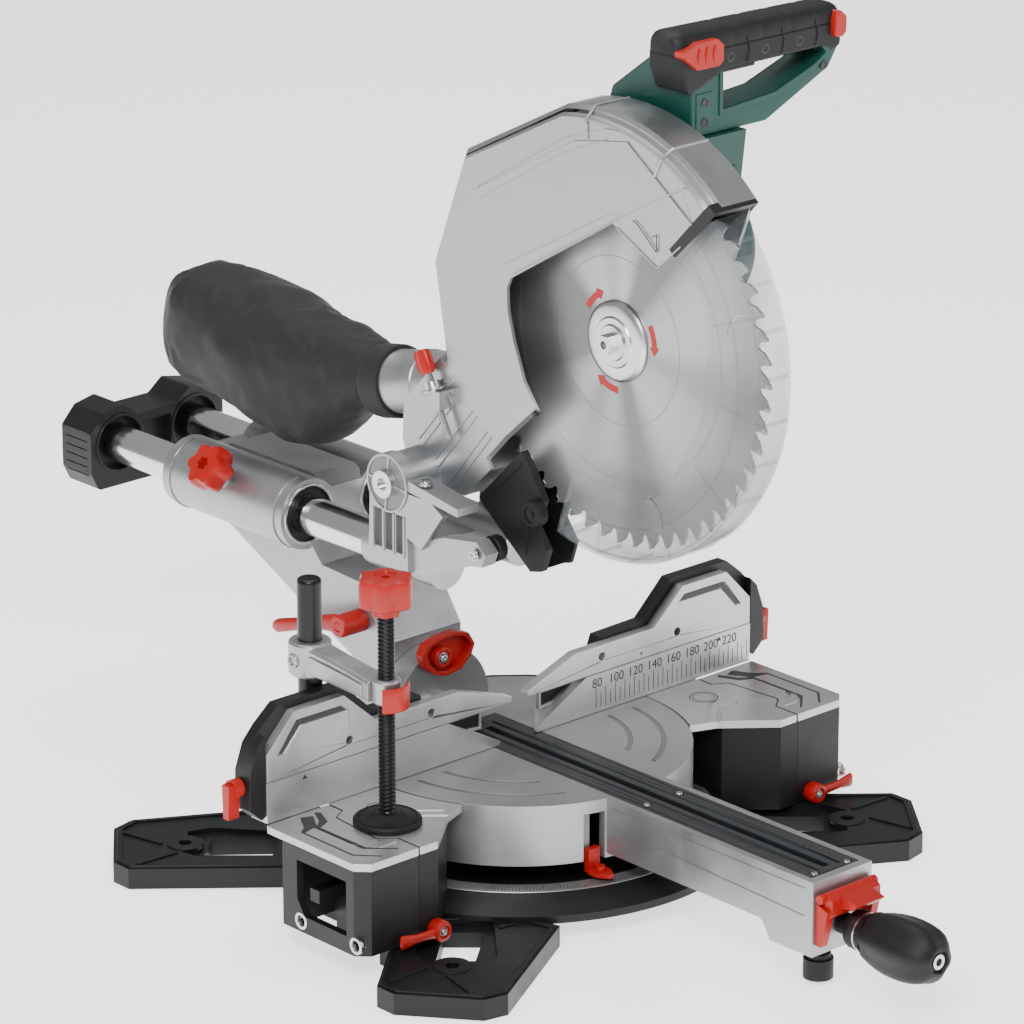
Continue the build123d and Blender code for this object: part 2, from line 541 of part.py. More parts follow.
with BuildPart() as head_pivot_pin:
    rod_x(-63, 63, PIVOT_Y, PIVOT_Z, 8)
    rod_x(-66, -60, PIVOT_Y, PIVOT_Z, 10.5)
    rod_x(60, 66, PIVOT_Y, PIVOT_Z, 10.5)
    rod_x(-67, -62, PIVOT_Y, PIVOT_Z, 5, SUB)
save(head_pivot_pin, "head_pivot_pin")

with BuildPart() as link_roller:
    rod_x(-42.6, -32, -16, 255, 10)
    rod_x(-58, -42.6, -16, 255, 3.5)
save(link_roller, "link_roller")

# ---- head ------------------------------------------------------------------------------------
def head(points):
    """Side-view points measured from the blade axis."""
    return [(AXIS_Y + y, AXIS_Z + z) for y, z in points]


def arc(radius, a0, a1, step):
    """Points on a circle about the blade axis; angles from straight forward, upward."""
    count = max(2, round(abs(a1 - a0) / step) + 1)
    angles = [a0 + (a1 - a0) * i / (count - 1) for i in range(count)]
    return [(-radius * cos(radians(a)), radius * sin(radians(a))) for a in angles]


PORT = Plane((0, 62, TABLE + 264), z_dir=(0, 0.98, -0.2))   # dust port, from the guard's back
PORT_R = 24.5
MOUTH, CROWN = 47.0, 102.0
BACK = [(142, 116), (176, 28), (163, -45)]
ARM_BACK = [(204, -88), (206, -118)]
ARM_LOW = [(150, -146), (137, -146), (87, -94)]
OPENING = [(61, -68), (58, -62), (73, -42), (84, -14), (90, 7), (91, 24), (87, 32), (-19, 96),
           (-65, 75), (-89, 93)]


with BuildPart() as upper_guard:
    # closed casing, bevelled on its left side
    with BuildSketch(at_x(GUARD_X0 + BEVEL)) as casing:
        with BuildLine():
            top = CenterArc((AXIS_Y, AXIS_Z), GUARD_R, 180 - MOUTH, MOUTH - CROWN)
            Polyline(top @ 1, *head(BACK + ARM_BACK + ARM_LOW + [(40, -52), (-92, 60)]), top @ 0)
        make_face()
    extrude(amount=GUARD_X1 - GUARD_X0 - BEVEL)
    extrude(casing.sketch, amount=-BEVEL, taper=40)
    # space for the blade and the clear guard
    with BuildSketch(at_x(GUARD_X0 + WALL)):
        with BuildLine():
            top = CenterArc((AXIS_Y, AXIS_Z), GUARD_R - WALL, 180 - MOUTH + 8, MOUTH - CROWN - 8)
            Polyline(top @ 1, *head([(139, 113), (172, 28), (160, -40), (128, -100), (30, -190),
                                     (-170, 20)]), top @ 0)
        make_face()
    extrude(amount=GUARD_X1 - GUARD_X0 - 2 * WALL, mode=SUB)
    # arm to the chopping pivot
    slab_x(head([(163, -45), (204, -88), (206, -118), (196, -146), (150, -146), (137, -146),
                 (108, -118), (140, -66)]), GUARD_X0, GUARD_X1)
    rod_x(GUARD_X0 + WALL, GUARD_X1 - WALL, AXIS_Y, AXIS_Z, SHIELD_R + 3, SUB)
    # opening in the left wall
    slab_x(head(OPENING + [(-108, 122), (-130, 118), (-150, -60), (40, -120)]),
           GUARD_X0 - 1, GUARD_X0 + WALL + 1, SUB)
    # right wall: gear case and bearing nose
    rod_x(GUARD_X1 - WALL, GUARD_X1, AXIS_Y, AXIS_Z, 62)
    rod_x(GUARD_X1, 42, AXIS_Y, AXIS_Z, 52)
    rod_x(5.5, GUARD_X1, AXIS_Y, AXIS_Z, NOSE_R)
    rod_x(0, 60, AXIS_Y, AXIS_Z, SPINDLE_R + FIT, SUB)
    rod_x(-EAR_X0 + 0.6, EAR_X0 - 0.6, PIVOT_Y, PIVOT_Z, 21)
    rod_x(-70, 70, PIVOT_Y, PIVOT_Z, 8 + FIT, SUB)
    # raised panel on the left wall, and two pairs of ribs on the arm
    slab_x(head([(130, 78), (126, 90), (20, 148), (0, 152), (-22, 156), (-34, 158), (-100, 112),
                 (-18, 103), (92, 42)]), GUARD_X0 - 1.2, GUARD_X0 + 0.5)
    # socket for the dust port
    with Locations(PORT):
        Cylinder(PORT_R, 80, align=(Align.CENTER, Align.CENTER, Align.MIN), mode=SUB)
    # lug for the depth stop
    block(-38, GUARD_X0 + 2, 44, 62, TABLE + 256, TABLE + 270)
    with Locations(Plane((-33, 53, TABLE + 263), z_dir=(0, 0.45, 0.89))):
        Cylinder(3 + FIT, 90, mode=SUB)
save(upper_guard, "upper_guard")

STOP = Plane((-33, 53, TABLE + 263), z_dir=(0, 0.45, 0.89))
with BuildPart() as depth_stop:
    with Locations(STOP):
        with Locations((0, 0, -32)):
            Cylinder(3, 62, align=(Align.CENTER, Align.CENTER, Align.MIN))
        with Locations((0, 0, 22)):
            Cylinder(6.6, 20, align=(Align.CENTER, Align.CENTER, Align.MIN))
save(depth_stop, "depth_stop")

with BuildPart() as saw_blade:
    with BuildSketch(at_x(-BLADE_HALF)):
        with Locations((AXIS_Y, AXIS_Z)):
            Circle(BLADE_R - 9)
            Circle(SPINDLE_R, mode=SUB)
    extrude(amount=2 * BLADE_HALF)
    pitch = 360 / TEETH
    for i in range(TEETH):
        a = i * pitch
        tooth = [(r * cos(radians(a + d)), r * sin(radians(a + d))) for r, d in
                 ((BLADE_R - 11, 0), (BLADE_R - 2.5, 2), (BLADE_R, 4.4), (BLADE_R - 11, 4.4))]
        slab_x(head(tooth), -BLADE_HALF, BLADE_HALF)
save(saw_blade, "saw_blade")

with BuildPart() as blade_flange:
    rod_x(-7, -BLADE_HALF, AXIS_Y, AXIS_Z, 30)
    chamfer(blade_flange.edges().group_by(Axis.X)[0], 3)
    rod_x(-8, 0, AXIS_Y, AXIS_Z, 5, SUB)
save(blade_flange, "blade_flange")

with BuildPart() as blade_bolt:
    rod_x(-9, -7, AXIS_Y, AXIS_Z, 11)
    with BuildSketch(at_x(-16)):
        with Locations((AXIS_Y, AXIS_Z)):
            RegularPolygon(7.5, 6)
            Circle(3, mode=SUB)
    extrude(amount=7)
    rod_x(-9, 20, AXIS_Y, AXIS_Z, 5)
save(blade_bolt, "blade_bolt")

with BuildPart() as spindle:
    rod_x(-BLADE_HALF, 52, AXIS_Y, AXIS_Z, SPINDLE_R)
    rod_x(BLADE_HALF, 5.0, AXIS_Y, AXIS_Z, 24)
    rod_x(-BLADE_HALF - 1, 21, AXIS_Y, AXIS_Z, 5, SUB)
save(spindle, "spindle")

REAR_EDGE = -108.0
with BuildPart() as lower_guard:
    for x0, inner in ((SHIELD_X0, 104), (SHIELD_X1 - SHIELD_T, 60)):
        slab_x(head(arc(SHIELD_R, MOUTH, REAR_EDGE, 5) + arc(inner, REAR_EDGE, MOUTH, 12)),
               x0, x0 + SHIELD_T)
    slab_x(head(arc(SHIELD_R, MOUTH, REAR_EDGE, 5) + arc(SHIELD_R - SHIELD_T, REAR_EDGE, MOUTH, 5)),
           SHIELD_X0, SHIELD_X1)
    # hub that turns on the bearing nose
    rod_x(SHIELD_X1 - SHIELD_T, SHIELD_X1, AXIS_Y, AXIS_Z, 64)
    rod_x(0, 20, AXIS_Y, AXIS_Z, NOSE_R + FIT, SUB)
save(lower_guard, "lower_guard")

with BuildPart() as chip_chute:
    slab_x([(-25, TABLE + 238), (22, TABLE + 191), (17, TABLE + 186), (-34, TABLE + 147),
            (-46, TABLE + 150), (-52, TABLE + 168), (-40, TABLE + 184), (-48, TABLE + 205),
            (-35, TABLE + 226)], -19.5, 13)
    slab_x([(14.6, TABLE + 189.2), (-36.4, TABLE + 150.2), (-60, TABLE + 140), (-80, TABLE + 170),
            (-70, TABLE + 230), (-30, TABLE + 262), (30, TABLE + 206)], -13, 9.5, SUB)
save(chip_chute, "chip_chute")

with BuildPart() as chute_roller:
    rod_x(-29, -19.5, -44, TABLE + 196, 10)
save(chute_roller, "chute_roller")

# motor, handle and its controls
MOTOR_Y, MOTOR_Z, MOTOR_R, MOTOR_X1 = -52.0, TABLE + 372, 47.0, 150.0
HANDLE_LOW = TABLE + 491
with BuildPart() as motor_housing:
    rod_x(GUARD_X1, MOTOR_X1, MOTOR_Y, MOTOR_Z, MOTOR_R)
    chamfer(motor_housing.edges().group_by(Axis.X)[-1], 8)
    slab_x([(-160, HANDLE_LOW), (-150, TABLE + 410), (-96, TABLE + 392), (-60, TABLE + 412),
            (-60, HANDLE_LOW)], GUARD_X1, 72)
    rod_x(GUARD_X1 - 1, 42, AXIS_Y, AXIS_Z, 52, SUB)
    rod_x(41, 60, AXIS_Y, AXIS_Z, SPINDLE_R + 4, SUB)
    for angle in range(0, 360, 30):
        y = MOTOR_Y + 30 * cos(radians(angle))
        z = MOTOR_Z + 30 * sin(radians(angle))
        rod_x(MOTOR_X1 - 6, MOTOR_X1 + 1, y, z, 4.5, SUB)
save(motor_housing, "motor_housing")

HANDLE_Y, HANDLE_X0, HANDLE_X1, GRIP_X0 = -140.0, 22.0, 168.0, 0.0
GRIP_LOW, GRIP_TOP = TABLE + 536, TABLE + 568
with BuildPart() as handle_frame:
    slab_y([(HANDLE_X0, GRIP_LOW + 16), (HANDLE_X1, GRIP_LOW + 16), (HANDLE_X1, TABLE + 534),
            (158, TABLE + 519), (96, HANDLE_LOW), (HANDLE_X0, HANDLE_LOW)],
           HANDLE_Y - 15, HANDLE_Y + 15)
    slab_y([(52, GRIP_LOW), (150, GRIP_LOW), (154, TABLE + 531), (142, TABLE + 524),
            (104, TABLE + 511), (52, TABLE + 507)], HANDLE_Y - 20, HANDLE_Y + 20, SUB)
    slab_x([(HANDLE_Y - 15, GRIP_LOW + 16), (HANDLE_Y + 15, GRIP_LOW + 16), (-74, TABLE + 514),
            (-66, HANDLE_LOW), (HANDLE_Y - 15, HANDLE_LOW)], HANDLE_X0, 50)
    # pockets for the trigger and for the two release buttons
    block(54, 96, HANDLE_Y - 6, HANDLE_Y + 6, GRIP_LOW - 1, GRIP_LOW + 13, SUB)
    block(GRIP_X0, GRIP_X0 + 48, HANDLE_Y - 18, HANDLE_Y - 5, TABLE + 539, TABLE + 562, SUB)
    block(HANDLE_X1 - 12, HANDLE_X1 + 4, HANDLE_Y - 18, HANDLE_Y - 5, TABLE + 539, TABLE + 562, SUB)
save(handle_frame, "handle_frame")

with BuildPart() as handle_grip:
    slab_x([(HANDLE_Y - 17, GRIP_LOW + 16.2), (HANDLE_Y + 17, GRIP_LOW + 16.2),
            (HANDLE_Y + 17, GRIP_TOP - 9), (HANDLE_Y + 8, GRIP_TOP), (HANDLE_Y - 8, GRIP_TOP),
            (HANDLE_Y - 17, GRIP_TOP - 9)], GRIP_X0, HANDLE_X1 + 2)
    block(GRIP_X0 - 2, GRIP_X0 + 48, HANDLE_Y - 18, HANDLE_Y - 5, TABLE + 539, TABLE + 562, SUB)
    block(HANDLE_X1 - 12, HANDLE_X1 + 4, HANDLE_Y - 18, HANDLE_Y - 5, TABLE + 539, TABLE + 562, SUB)
save(handle_grip, "handle_grip")

with BuildPart() as lock_buttons:
    block(GRIP_X0, GRIP_X0 + 47, HANDLE_Y - 22, HANDLE_Y - 10, TABLE + 541, TABLE + 561)
    block(HANDLE_X1 - 11, HANDLE_X1 + 2, HANDLE_Y - 22, HANDLE_Y - 10, TABLE + 541, TABLE + 561)
save(lock_buttons, "lock_buttons")

with BuildPart() as trigger:
    slab_y([(55, GRIP_LOW + 8), (95, GRIP_LOW + 8), (93, GRIP_LOW - 6), (58, GRIP_LOW - 6)],
           HANDLE_Y - 5.5, HANDLE_Y + 5.5)
save(trigger, "trigger")

with BuildPart() as dust_port:
    with Locations(PORT):
        Cylinder(PORT_R, 80, align=(Align.CENTER, Align.CENTER, Align.MIN))
        Cylinder(PORT_R - 3.5, 80, align=(Align.CENTER, Align.CENTER, Align.MIN), mode=SUB)
    block(-30, 30, 40, 67, TABLE + 220, TABLE + 300, SUB)
save(dust_port, "dust_port")

BAG = [(148, 50, 50, 247), (160, 60, 58, 247), (178, 72, 72, 243), (205, 84, 98, 234),
       (230, 92, 110, 232), (262, 96, 106, 237), (310, 97, 106, 242), (350, 88, 104, 245),
       (372, 64, 94, 244), (386, 40, 74, 241)]
with BuildPart() as dust_bag:
    for y, width, height, centre in BAG:
        with BuildSketch(at_y(y)):
            with Locations((0, TABLE + centre)):
                RectangleRounded(width, height, min(width, height) * 0.35)
    loft(ruled=True)
save(dust_bag, "dust_bag")
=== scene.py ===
"""Sliding mitre saw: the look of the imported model. Lengths in the helpers are millimetres."""
import bpy
import bmesh
import json
from math import sin, cos, pi, radians
from mathutils import Vector, Matrix


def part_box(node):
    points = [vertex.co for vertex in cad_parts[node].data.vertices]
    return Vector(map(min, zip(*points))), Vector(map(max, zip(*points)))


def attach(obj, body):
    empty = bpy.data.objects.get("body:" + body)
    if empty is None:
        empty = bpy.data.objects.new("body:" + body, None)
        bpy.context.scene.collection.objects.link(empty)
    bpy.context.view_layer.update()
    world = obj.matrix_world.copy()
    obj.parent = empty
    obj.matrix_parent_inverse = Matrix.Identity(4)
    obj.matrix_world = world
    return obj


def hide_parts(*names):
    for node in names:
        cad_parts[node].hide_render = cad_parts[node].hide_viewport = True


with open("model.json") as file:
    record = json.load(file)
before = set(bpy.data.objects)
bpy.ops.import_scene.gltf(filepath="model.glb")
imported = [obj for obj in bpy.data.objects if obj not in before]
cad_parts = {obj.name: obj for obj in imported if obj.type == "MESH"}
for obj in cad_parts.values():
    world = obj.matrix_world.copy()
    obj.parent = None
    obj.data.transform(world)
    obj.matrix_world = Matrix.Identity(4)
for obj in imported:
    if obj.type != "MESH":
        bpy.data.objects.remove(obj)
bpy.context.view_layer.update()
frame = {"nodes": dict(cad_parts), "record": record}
NODES = frame["nodes"]
MM = 0.001
SIDES = ((-1, "left"), (1, "right"))
LEFT, RIGHT, FRONT, BACK, UP = (-1, 0, 0), (1, 0, 0), (0, -1, 0), (0, 1, 0), (0, 0, 1)


def span(node):
    low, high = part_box(node)
    return low / MM, high / MM


TABLE = span("turntable")[1].z if span("turntable")[1].z < 100 else span("table_top_left")[1].z
BLADE_LO, BLADE_HI = span("saw_blade")
AXIS_Y = (BLADE_LO.y + BLADE_HI.y) / 2
AXIS_Z = (BLADE_LO.z + BLADE_HI.z) / 2
BLADE_R = (BLADE_HI.z - BLADE_LO.z) / 2


# ---- materials ----
def link(tree, a, b):
    tree.links.new(a, b)


def new_material(name):
    m = bpy.data.materials.new(name)
    m.use_nodes = True
    return m, m.node_tree, m.node_tree.nodes["Principled BSDF"]


def node(tree, kind, **values):
    n = tree.nodes.new(kind)
    for key, value in values.items():
        if key in n.inputs:
            n.inputs[key].default_value = value
        else:
            setattr(n, key, value)
    return n


def ramp(tree, source, a, b, ca, cb):
    r = tree.nodes.new("ShaderNodeValToRGB")
    r.color_ramp.elements[0].position = a
    r.color_ramp.elements[1].position = b
    r.color_ramp.elements[0].color = (*ca, 1) if len(ca) == 3 else ca
    r.color_ramp.elements[1].color = (*cb, 1) if len(cb) == 3 else cb
    link(tree, source, r.inputs["Fac"])
    return r.outputs["Color"]


def spread(tree, source, low, high):
    r = node(tree, "ShaderNodeMapRange")
    r.inputs["From Min"].default_value = 0.3
    r.inputs["From Max"].default_value = 0.7
    r.inputs["To Min"].default_value = low
    r.inputs["To Max"].default_value = high
    link(tree, source, r.inputs["Value"])
    return r.outputs["Result"]


def maths(tree, operation, *sources):
    n = node(tree, "ShaderNodeMath", operation=operation)
    for slot, source in zip(n.inputs, sources):
        if isinstance(source, (int, float)):
            slot.default_value = source
        else:
            link(tree, source, slot)
    return n.outputs["Value"]


def object_place(tree):
    return node(tree, "ShaderNodeTexCoord").outputs["Object"]


def noise(tree, place, scale, detail, rough, distortion=0.0):
    n = node(tree, "ShaderNodeTexNoise", Scale=scale, Detail=detail, Roughness=rough, Distortion=distortion)
    link(tree, place, n.inputs["Vector"])
    return n.outputs["Fac"]


def bumped(tree, shader, height, strength, distance):
    b = node(tree, "ShaderNodeBump", Strength=strength, Distance=distance)
    link(tree, height, b.inputs["Height"])
    link(tree, b.outputs["Normal"], shader.inputs["Normal"])


def multiplied(tree, base, over, amount):
    mix = node(tree, "ShaderNodeMix", data_type="RGBA", blend_type="MULTIPLY")
    mix.inputs[0].default_value = amount
    link(tree, base, mix.inputs[6])
    link(tree, over, mix.inputs[7])
    return mix.outputs[2]


def surface(name, colour, rough, metal=0.0, vary=0.08, grain=900, bump=0.15, depth=0.0001, cloud=35,
            rough_spread=0.07, coat=0.0, specular=0.5, scuffs=0.0):
    """Plastic, paint or metal: cloudy colour, uneven roughness, a fine grain and rubbed spots."""
    m, t, shader = new_material(name)
    at = object_place(t)
    clouds = noise(t, at, cloud, 6.0, 0.6)
    fine = noise(t, at, grain, 3.0, 0.55)
    dark = [c * (1 - vary) for c in colour]
    light = [min(1, c * (1 + vary)) for c in colour]
    tint = ramp(t, clouds, 0.3, 0.7, dark, light)
    if scuffs:
        marks = noise(t, at, 160, 8.0, 0.75, 1.5)
        mask = ramp(t, marks, 0.62, 0.72, (0, 0, 0), (scuffs, scuffs, scuffs))
        mix = node(t, "ShaderNodeMix", data_type="RGBA")
        link(t, mask, mix.inputs[0])
        link(t, tint, mix.inputs[6])
        mix.inputs[7].default_value = (*[min(1, c * 1.6 + 0.03) for c in colour], 1)
        tint = mix.outputs[2]
    link(t, tint, shader.inputs["Base Color"])
    link(t, spread(t, clouds, rough - rough_spread, rough + rough_spread), shader.inputs["Roughness"])
    bumped(t, shader, fine, bump, depth)
    shader.inputs["Metallic"].default_value = metal
    shader.inputs["Coat Weight"].default_value = coat
    shader.inputs["Coat Roughness"].default_value = 0.15
    shader.inputs["Specular IOR Level"].default_value = specular
    return m


def machined(name, colour, rough, pitch=0.0016):
    """Milled alloy: two crossed sets of fine tool marks over cloudy reflections."""
    m, t, shader = new_material(name)
    at = object_place(t)
    waves = []
    for angle in (38, -44):
        turn = node(t, "ShaderNodeMapping")
        turn.inputs["Rotation"].default_value = (radians(angle), radians(angle), radians(angle))
        link(t, at, turn.inputs["Vector"])
        wave = node(t, "ShaderNodeTexWave", Scale=0.31 / pitch, Distortion=1.2, Detail=2.0)
        wave.inputs["Detail Scale"].default_value = 3.0
        link(t, turn.outputs["Vector"], wave.inputs["Vector"])
        waves.append(wave.outputs["Fac"])
    cross = maths(t, "MULTIPLY", *waves)
    clouds = noise(t, at, 22, 5.0, 0.6, 0.6)
    base = ramp(t, clouds, 0.3, 0.7, [c * 0.9 for c in colour], [min(1, c * 1.06) for c in colour])
    marks = ramp(t, cross, 0.0, 0.6, (0.72, 0.72, 0.73), (1, 1, 1))
    link(t, multiplied(t, base, marks, 0.35), shader.inputs["Base Color"])
    link(t, spread(t, clouds, rough - 0.08, rough + 0.08), shader.inputs["Roughness"])
    bumped(t, shader, cross, 0.25, 0.00012)
    shader.inputs["Metallic"].default_value = 0.75
    return m


def brushed_round(name, colour, rough):
    """Steel ground in circles about the blade's axis, with a painted reflection: a fan of light and dark
    painted into the base colour.
    """
    m, t, shader = new_material(name)
    at = object_place(t)
    shift = node(t, "ShaderNodeVectorMath", operation="SUBTRACT")
    shift.inputs[1].default_value = (0, AXIS_Y * MM, AXIS_Z * MM)
    link(t, at, shift.inputs[0])
    parts = node(t, "ShaderNodeSeparateXYZ")
    link(t, shift.outputs["Vector"], parts.inputs["Vector"])
    flat = node(t, "ShaderNodeCombineXYZ")
    link(t, parts.outputs["Y"], flat.inputs["Y"])
    link(t, parts.outputs["Z"], flat.inputs["Z"])
    radius = node(t, "ShaderNodeVectorMath", operation="LENGTH")
    link(t, flat.outputs["Vector"], radius.inputs[0])
    turn = maths(t, "ARCTAN2", parts.outputs["Z"], parts.outputs["Y"])

    def polar_noise(k_radius, k_angle, detail):
        v = node(t, "ShaderNodeCombineXYZ")
        link(t, maths(t, "MULTIPLY", radius.outputs["Value"], k_radius), v.inputs["X"])
        for axis, operation in (("Y", "SINE"), ("Z", "COSINE")):
            link(t, maths(t, "MULTIPLY", maths(t, operation, turn), k_angle), v.inputs[axis])
        return noise(t, v.outputs["Vector"], 1.0, detail, 0.6)

    rings = polar_noise(2600, 1.4, 4.0)
    # painted reflection: a fan of light and dark streaks about the axis, painted into the base colour
    fan = polar_noise(3, 1.7, 0.0)
    glow = ramp(t, fan, 0.36, 0.66, [c * 0.62 for c in colour], [min(1, c * 1.35) for c in colour])
    marks = ramp(t, rings, 0.3, 0.7, (0.75, 0.75, 0.76), (1, 1, 1))
    link(t, multiplied(t, glow, marks, 0.5), shader.inputs["Base Color"])
    link(t, spread(t, rings, rough - 0.08, rough + 0.1), shader.inputs["Roughness"])
    bumped(t, shader, rings, 0.12, 0.00005)
    shader.inputs["Metallic"].default_value = 0.72
    shader.inputs["Anisotropic"].default_value = 0.45
    tangent = node(t, "ShaderNodeTangent", direction_type="RADIAL", axis="X")
    link(t, tangent.outputs["Tangent"], shader.inputs["Tangent"])
    return m


def woven(name, colour):
    """Coated nylon: two crossed fine grains over cloudy light and dark patches that are painted shade and
    highlight of folds.
    """
    m, t, shader = new_material(name)
    at = object_place(t)
    threads = []
    for stretch in ((2600, 420, 2600), (420, 2600, 420)):
        turn = node(t, "ShaderNodeMapping")
        turn.inputs["Scale"].default_value = stretch
        link(t, at, turn.inputs["Vector"])
        threads.append(noise(t, turn.outputs["Vector"], 1.0, 2.0, 0.5))
    weave = maths(t, "MAXIMUM", *threads)
    clouds = noise(t, at, 26, 6.0, 0.65)
    # painted shade and highlight of folds: the colour made darker and lighter in clouds
    base = ramp(t, clouds, 0.3, 0.72, [c * 0.75 for c in colour], [c * 1.35 for c in colour])
    yarn = ramp(t, weave, 0.2, 0.9, (0.55, 0.55, 0.56), (1, 1, 1))
    link(t, multiplied(t, base, yarn, 0.6), shader.inputs["Base Color"])
    link(t, spread(t, clouds, 0.62, 0.8), shader.inputs["Roughness"])
    bumped(t, shader, weave, 0.5, 0.0003)
    shader.inputs["Sheen Weight"].default_value = 0.10
    shader.inputs["Sheen Roughness"].default_value = 0.4
    return m


def clear(name):
    """Clear polycarbonate: thin, dark tinted, less clear where it is seen edge on."""
    m, t, shader = new_material(name)
    at = object_place(t)
    facing = node(t, "ShaderNodeLayerWeight", Blend=0.35)
    link(t, ramp(t, facing.outputs["Facing"], 0.05, 0.95, (0.04, 0.04, 0.04), (0.60, 0.60, 0.60)),
         shader.inputs["Alpha"])
    haze = noise(t, at, 60, 6.0, 0.7)
    link(t, ramp(t, haze, 0.3, 0.7, (0.14, 0.16, 0.17), (0.24, 0.26, 0.27)), shader.inputs["Base Color"])
    link(t, spread(t, haze, 0.04, 0.12), shader.inputs["Roughness"])
    bumped(t, shader, haze, 0.05, 0.0004)
    shader.inputs["Specular IOR Level"].default_value = 0.8
    return m


MAT = {
    "black_casting": surface("black_cast", (0.0085, 0.0095, 0.0105), 0.42, vary=0.2, grain=1300, bump=0.3,
                             specular=0.28, scuffs=0.22),
    "scale_plate": machined("scale_satin", (0.46, 0.467, 0.475), 0.36, pitch=0.0008),
    "machined_alloy": machined("milled_alloy", (0.56, 0.565, 0.57), 0.34),
    "cast_alloy": surface("cast_alloy", (0.40, 0.407, 0.415), 0.38, metal=0.8, vary=0.07, grain=1000,
                          bump=0.35, depth=0.00025, scuffs=0.12),
    "guard_alloy": surface("guard_silver", (0.38, 0.39, 0.40), 0.33, metal=0.85, vary=0.035, grain=1900,
                           bump=0.18, coat=0.15),
    "steel_fastener": surface("zinc_steel", (0.66, 0.66, 0.65), 0.28, metal=1.0, vary=0.1, grain=500,
                              bump=0.08),
    "black_steel": surface("black_oxide", (0.010, 0.0105, 0.0115), 0.32, metal=0.4, vary=0.2, grain=900,
                           scuffs=0.2),
    "dark_insert": surface("dark_insert", (0.022, 0.025, 0.028), 0.4, vary=0.12, grain=1500, scuffs=0.25),
    "red_plastic": surface("red_moulding", (0.42, 0.010, 0.006), 0.36, vary=0.1, grain=700, coat=0.05,
                           specular=0.35, scuffs=0.06),
    "black_plastic": surface("black_moulding", (0.0085, 0.009, 0.0095), 0.44, vary=0.16, grain=1500,
                             bump=0.35, specular=0.35, scuffs=0.15),
    "black_rubber": surface("soft_black", (0.0075, 0.008, 0.0085), 0.55, vary=0.18, grain=1100, bump=0.4,
                            specular=0.32),
    "green_plastic": surface("green_moulding", (0.006, 0.058, 0.045), 0.38, vary=0.12, grain=1200, bump=0.25,
                             coat=0.0, specular=0.35, scuffs=0.1),
    "rail_steel": surface("ground_tube", (0.78, 0.78, 0.79), 0.16, metal=1.0, vary=0.04, grain=400, bump=0.04,
                          rough_spread=0.05),
    "bag_fabric": woven("bag_nylon", (0.0085, 0.0095, 0.0115)),
    "clear_guard": clear("clear_shield"),
    "blade_steel": brushed_round("ground_blade", (0.36, 0.364, 0.37), 0.38),
}
INK = surface("dark_marking", (0.03, 0.03, 0.032), 0.5)
GREY_BAND = surface("grey_band", (0.20, 0.205, 0.21), 0.45, metal=0.4)
CARBIDE = surface("carbide", (0.42, 0.42, 0.43), 0.3, metal=1.0)
FLOOR = surface("studio_floor", (0.97, 0.97, 0.97), 0.75, vary=0.01, bump=0.02)

glow = FLOOR.node_tree.nodes["Principled BSDF"].inputs
glow["Emission Color"].default_value = (1, 1, 1, 1)
glow["Emission Strength"].default_value = 1.5

SLOT_OF = {s["node"]: s["material_slot"] for s in frame["record"]["subparts"]}
for name, obj in NODES.items():
    obj.data.materials.clear()
    obj.data.materials.append(MAT[SLOT_OF[name]])


def soften(obj, width, segments=2, angle=32):
    """Small rounded edges, as a casting or moulding has."""
    weld = obj.modifiers.new("weld", "WELD")
    weld.merge_threshold = 1e-6
    b = obj.modifiers.new("edges", "BEVEL")
    b.width = width * MM
    b.segments = segments
    b.limit_method = "ANGLE"
    b.angle_limit = radians(angle)
    b.harden_normals = True
    b.use_clamp_overlap = True
    b.miter_outer = "MITER_ARC"


EDGES = {"base_casting": 1.6, "upper_guard": 0.7, "tilt_arm": 1.2, "head_bracket": 0.8, "turntable": 0.7,
         "motor_housing": 1.2, "handle_frame": 1.5, "chip_chute": 0.6, "rail_end_cap": 1.0}
for name, obj in NODES.items():
    obj.data.shade_smooth()
    obj.data.set_sharp_from_angle(angle=radians(30))
    if name not in ("saw_blade", "dust_bag"):
        soften(obj, EDGES.get(name, 0.5))
        even = obj.modifiers.new("even", "WEIGHTED_NORMAL")
        even.keep_sharp = True


# ---- building pieces ----
def piece(name, bm, slot, body, edge=0.0, smooth=32, mat=None, segments=2):
    """Turns a mesh in millimetres into an object that rides on a body."""
    bmesh.ops.remove_doubles(bm, verts=bm.verts, dist=1e-4)
    bmesh.ops.scale(bm, vec=(MM, MM, MM), verts=bm.verts)
    bmesh.ops.recalc_face_normals(bm, faces=bm.faces)
    mesh = bpy.data.meshes.new(name)
    bm.to_mesh(mesh)
    bm.free()
    obj = bpy.data.objects.new(name, mesh)
    bpy.context.scene.collection.objects.link(obj)
    mesh.materials.append(mat or MAT[slot])
    mesh.shade_smooth()
    mesh.set_sharp_from_angle(angle=radians(smooth))
    if edge:
        soften(obj, edge, segments, smooth)
    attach(obj, body)
    return obj


PLANES = {"x": lambda a, b, h: (h, a, b), "y": lambda a, b, h: (a, h, b), "z": lambda a, b, h: (a, b, h)}


def prism(bm, axis, points, low, high, holes=()):
    """Extruded outline across an axis, with optional holes."""
    place = PLANES[axis]
    start = []
    for loop in [points, *holes]:
        verts = [bm.verts.new(place(a, b, low)) for a, b in loop]
        start += [bm.edges.new((verts[i], verts[(i + 1) % len(verts)])) for i in range(len(verts))]
    fill = bmesh.ops.triangle_fill(bm, use_beauty=True, use_dissolve=False, edges=start)
    faces = [g for g in fill["geom"] if isinstance(g, bmesh.types.BMFace)]
    lift = bmesh.ops.extrude_face_region(bm, geom=faces)
    offset = Vector(place(0, 0, high)) - Vector(place(0, 0, low))
    moved = [g for g in lift["geom"] if isinstance(g, bmesh.types.BMVert)]
    bmesh.ops.translate(bm, verts=moved, vec=offset)
    flat = [e for e in bm.edges if len(e.link_faces) == 2 and e.calc_face_angle(1) < 0.001]
    bmesh.ops.dissolve_edges(bm, edges=[e for e in flat if e.is_valid], use_verts=False)


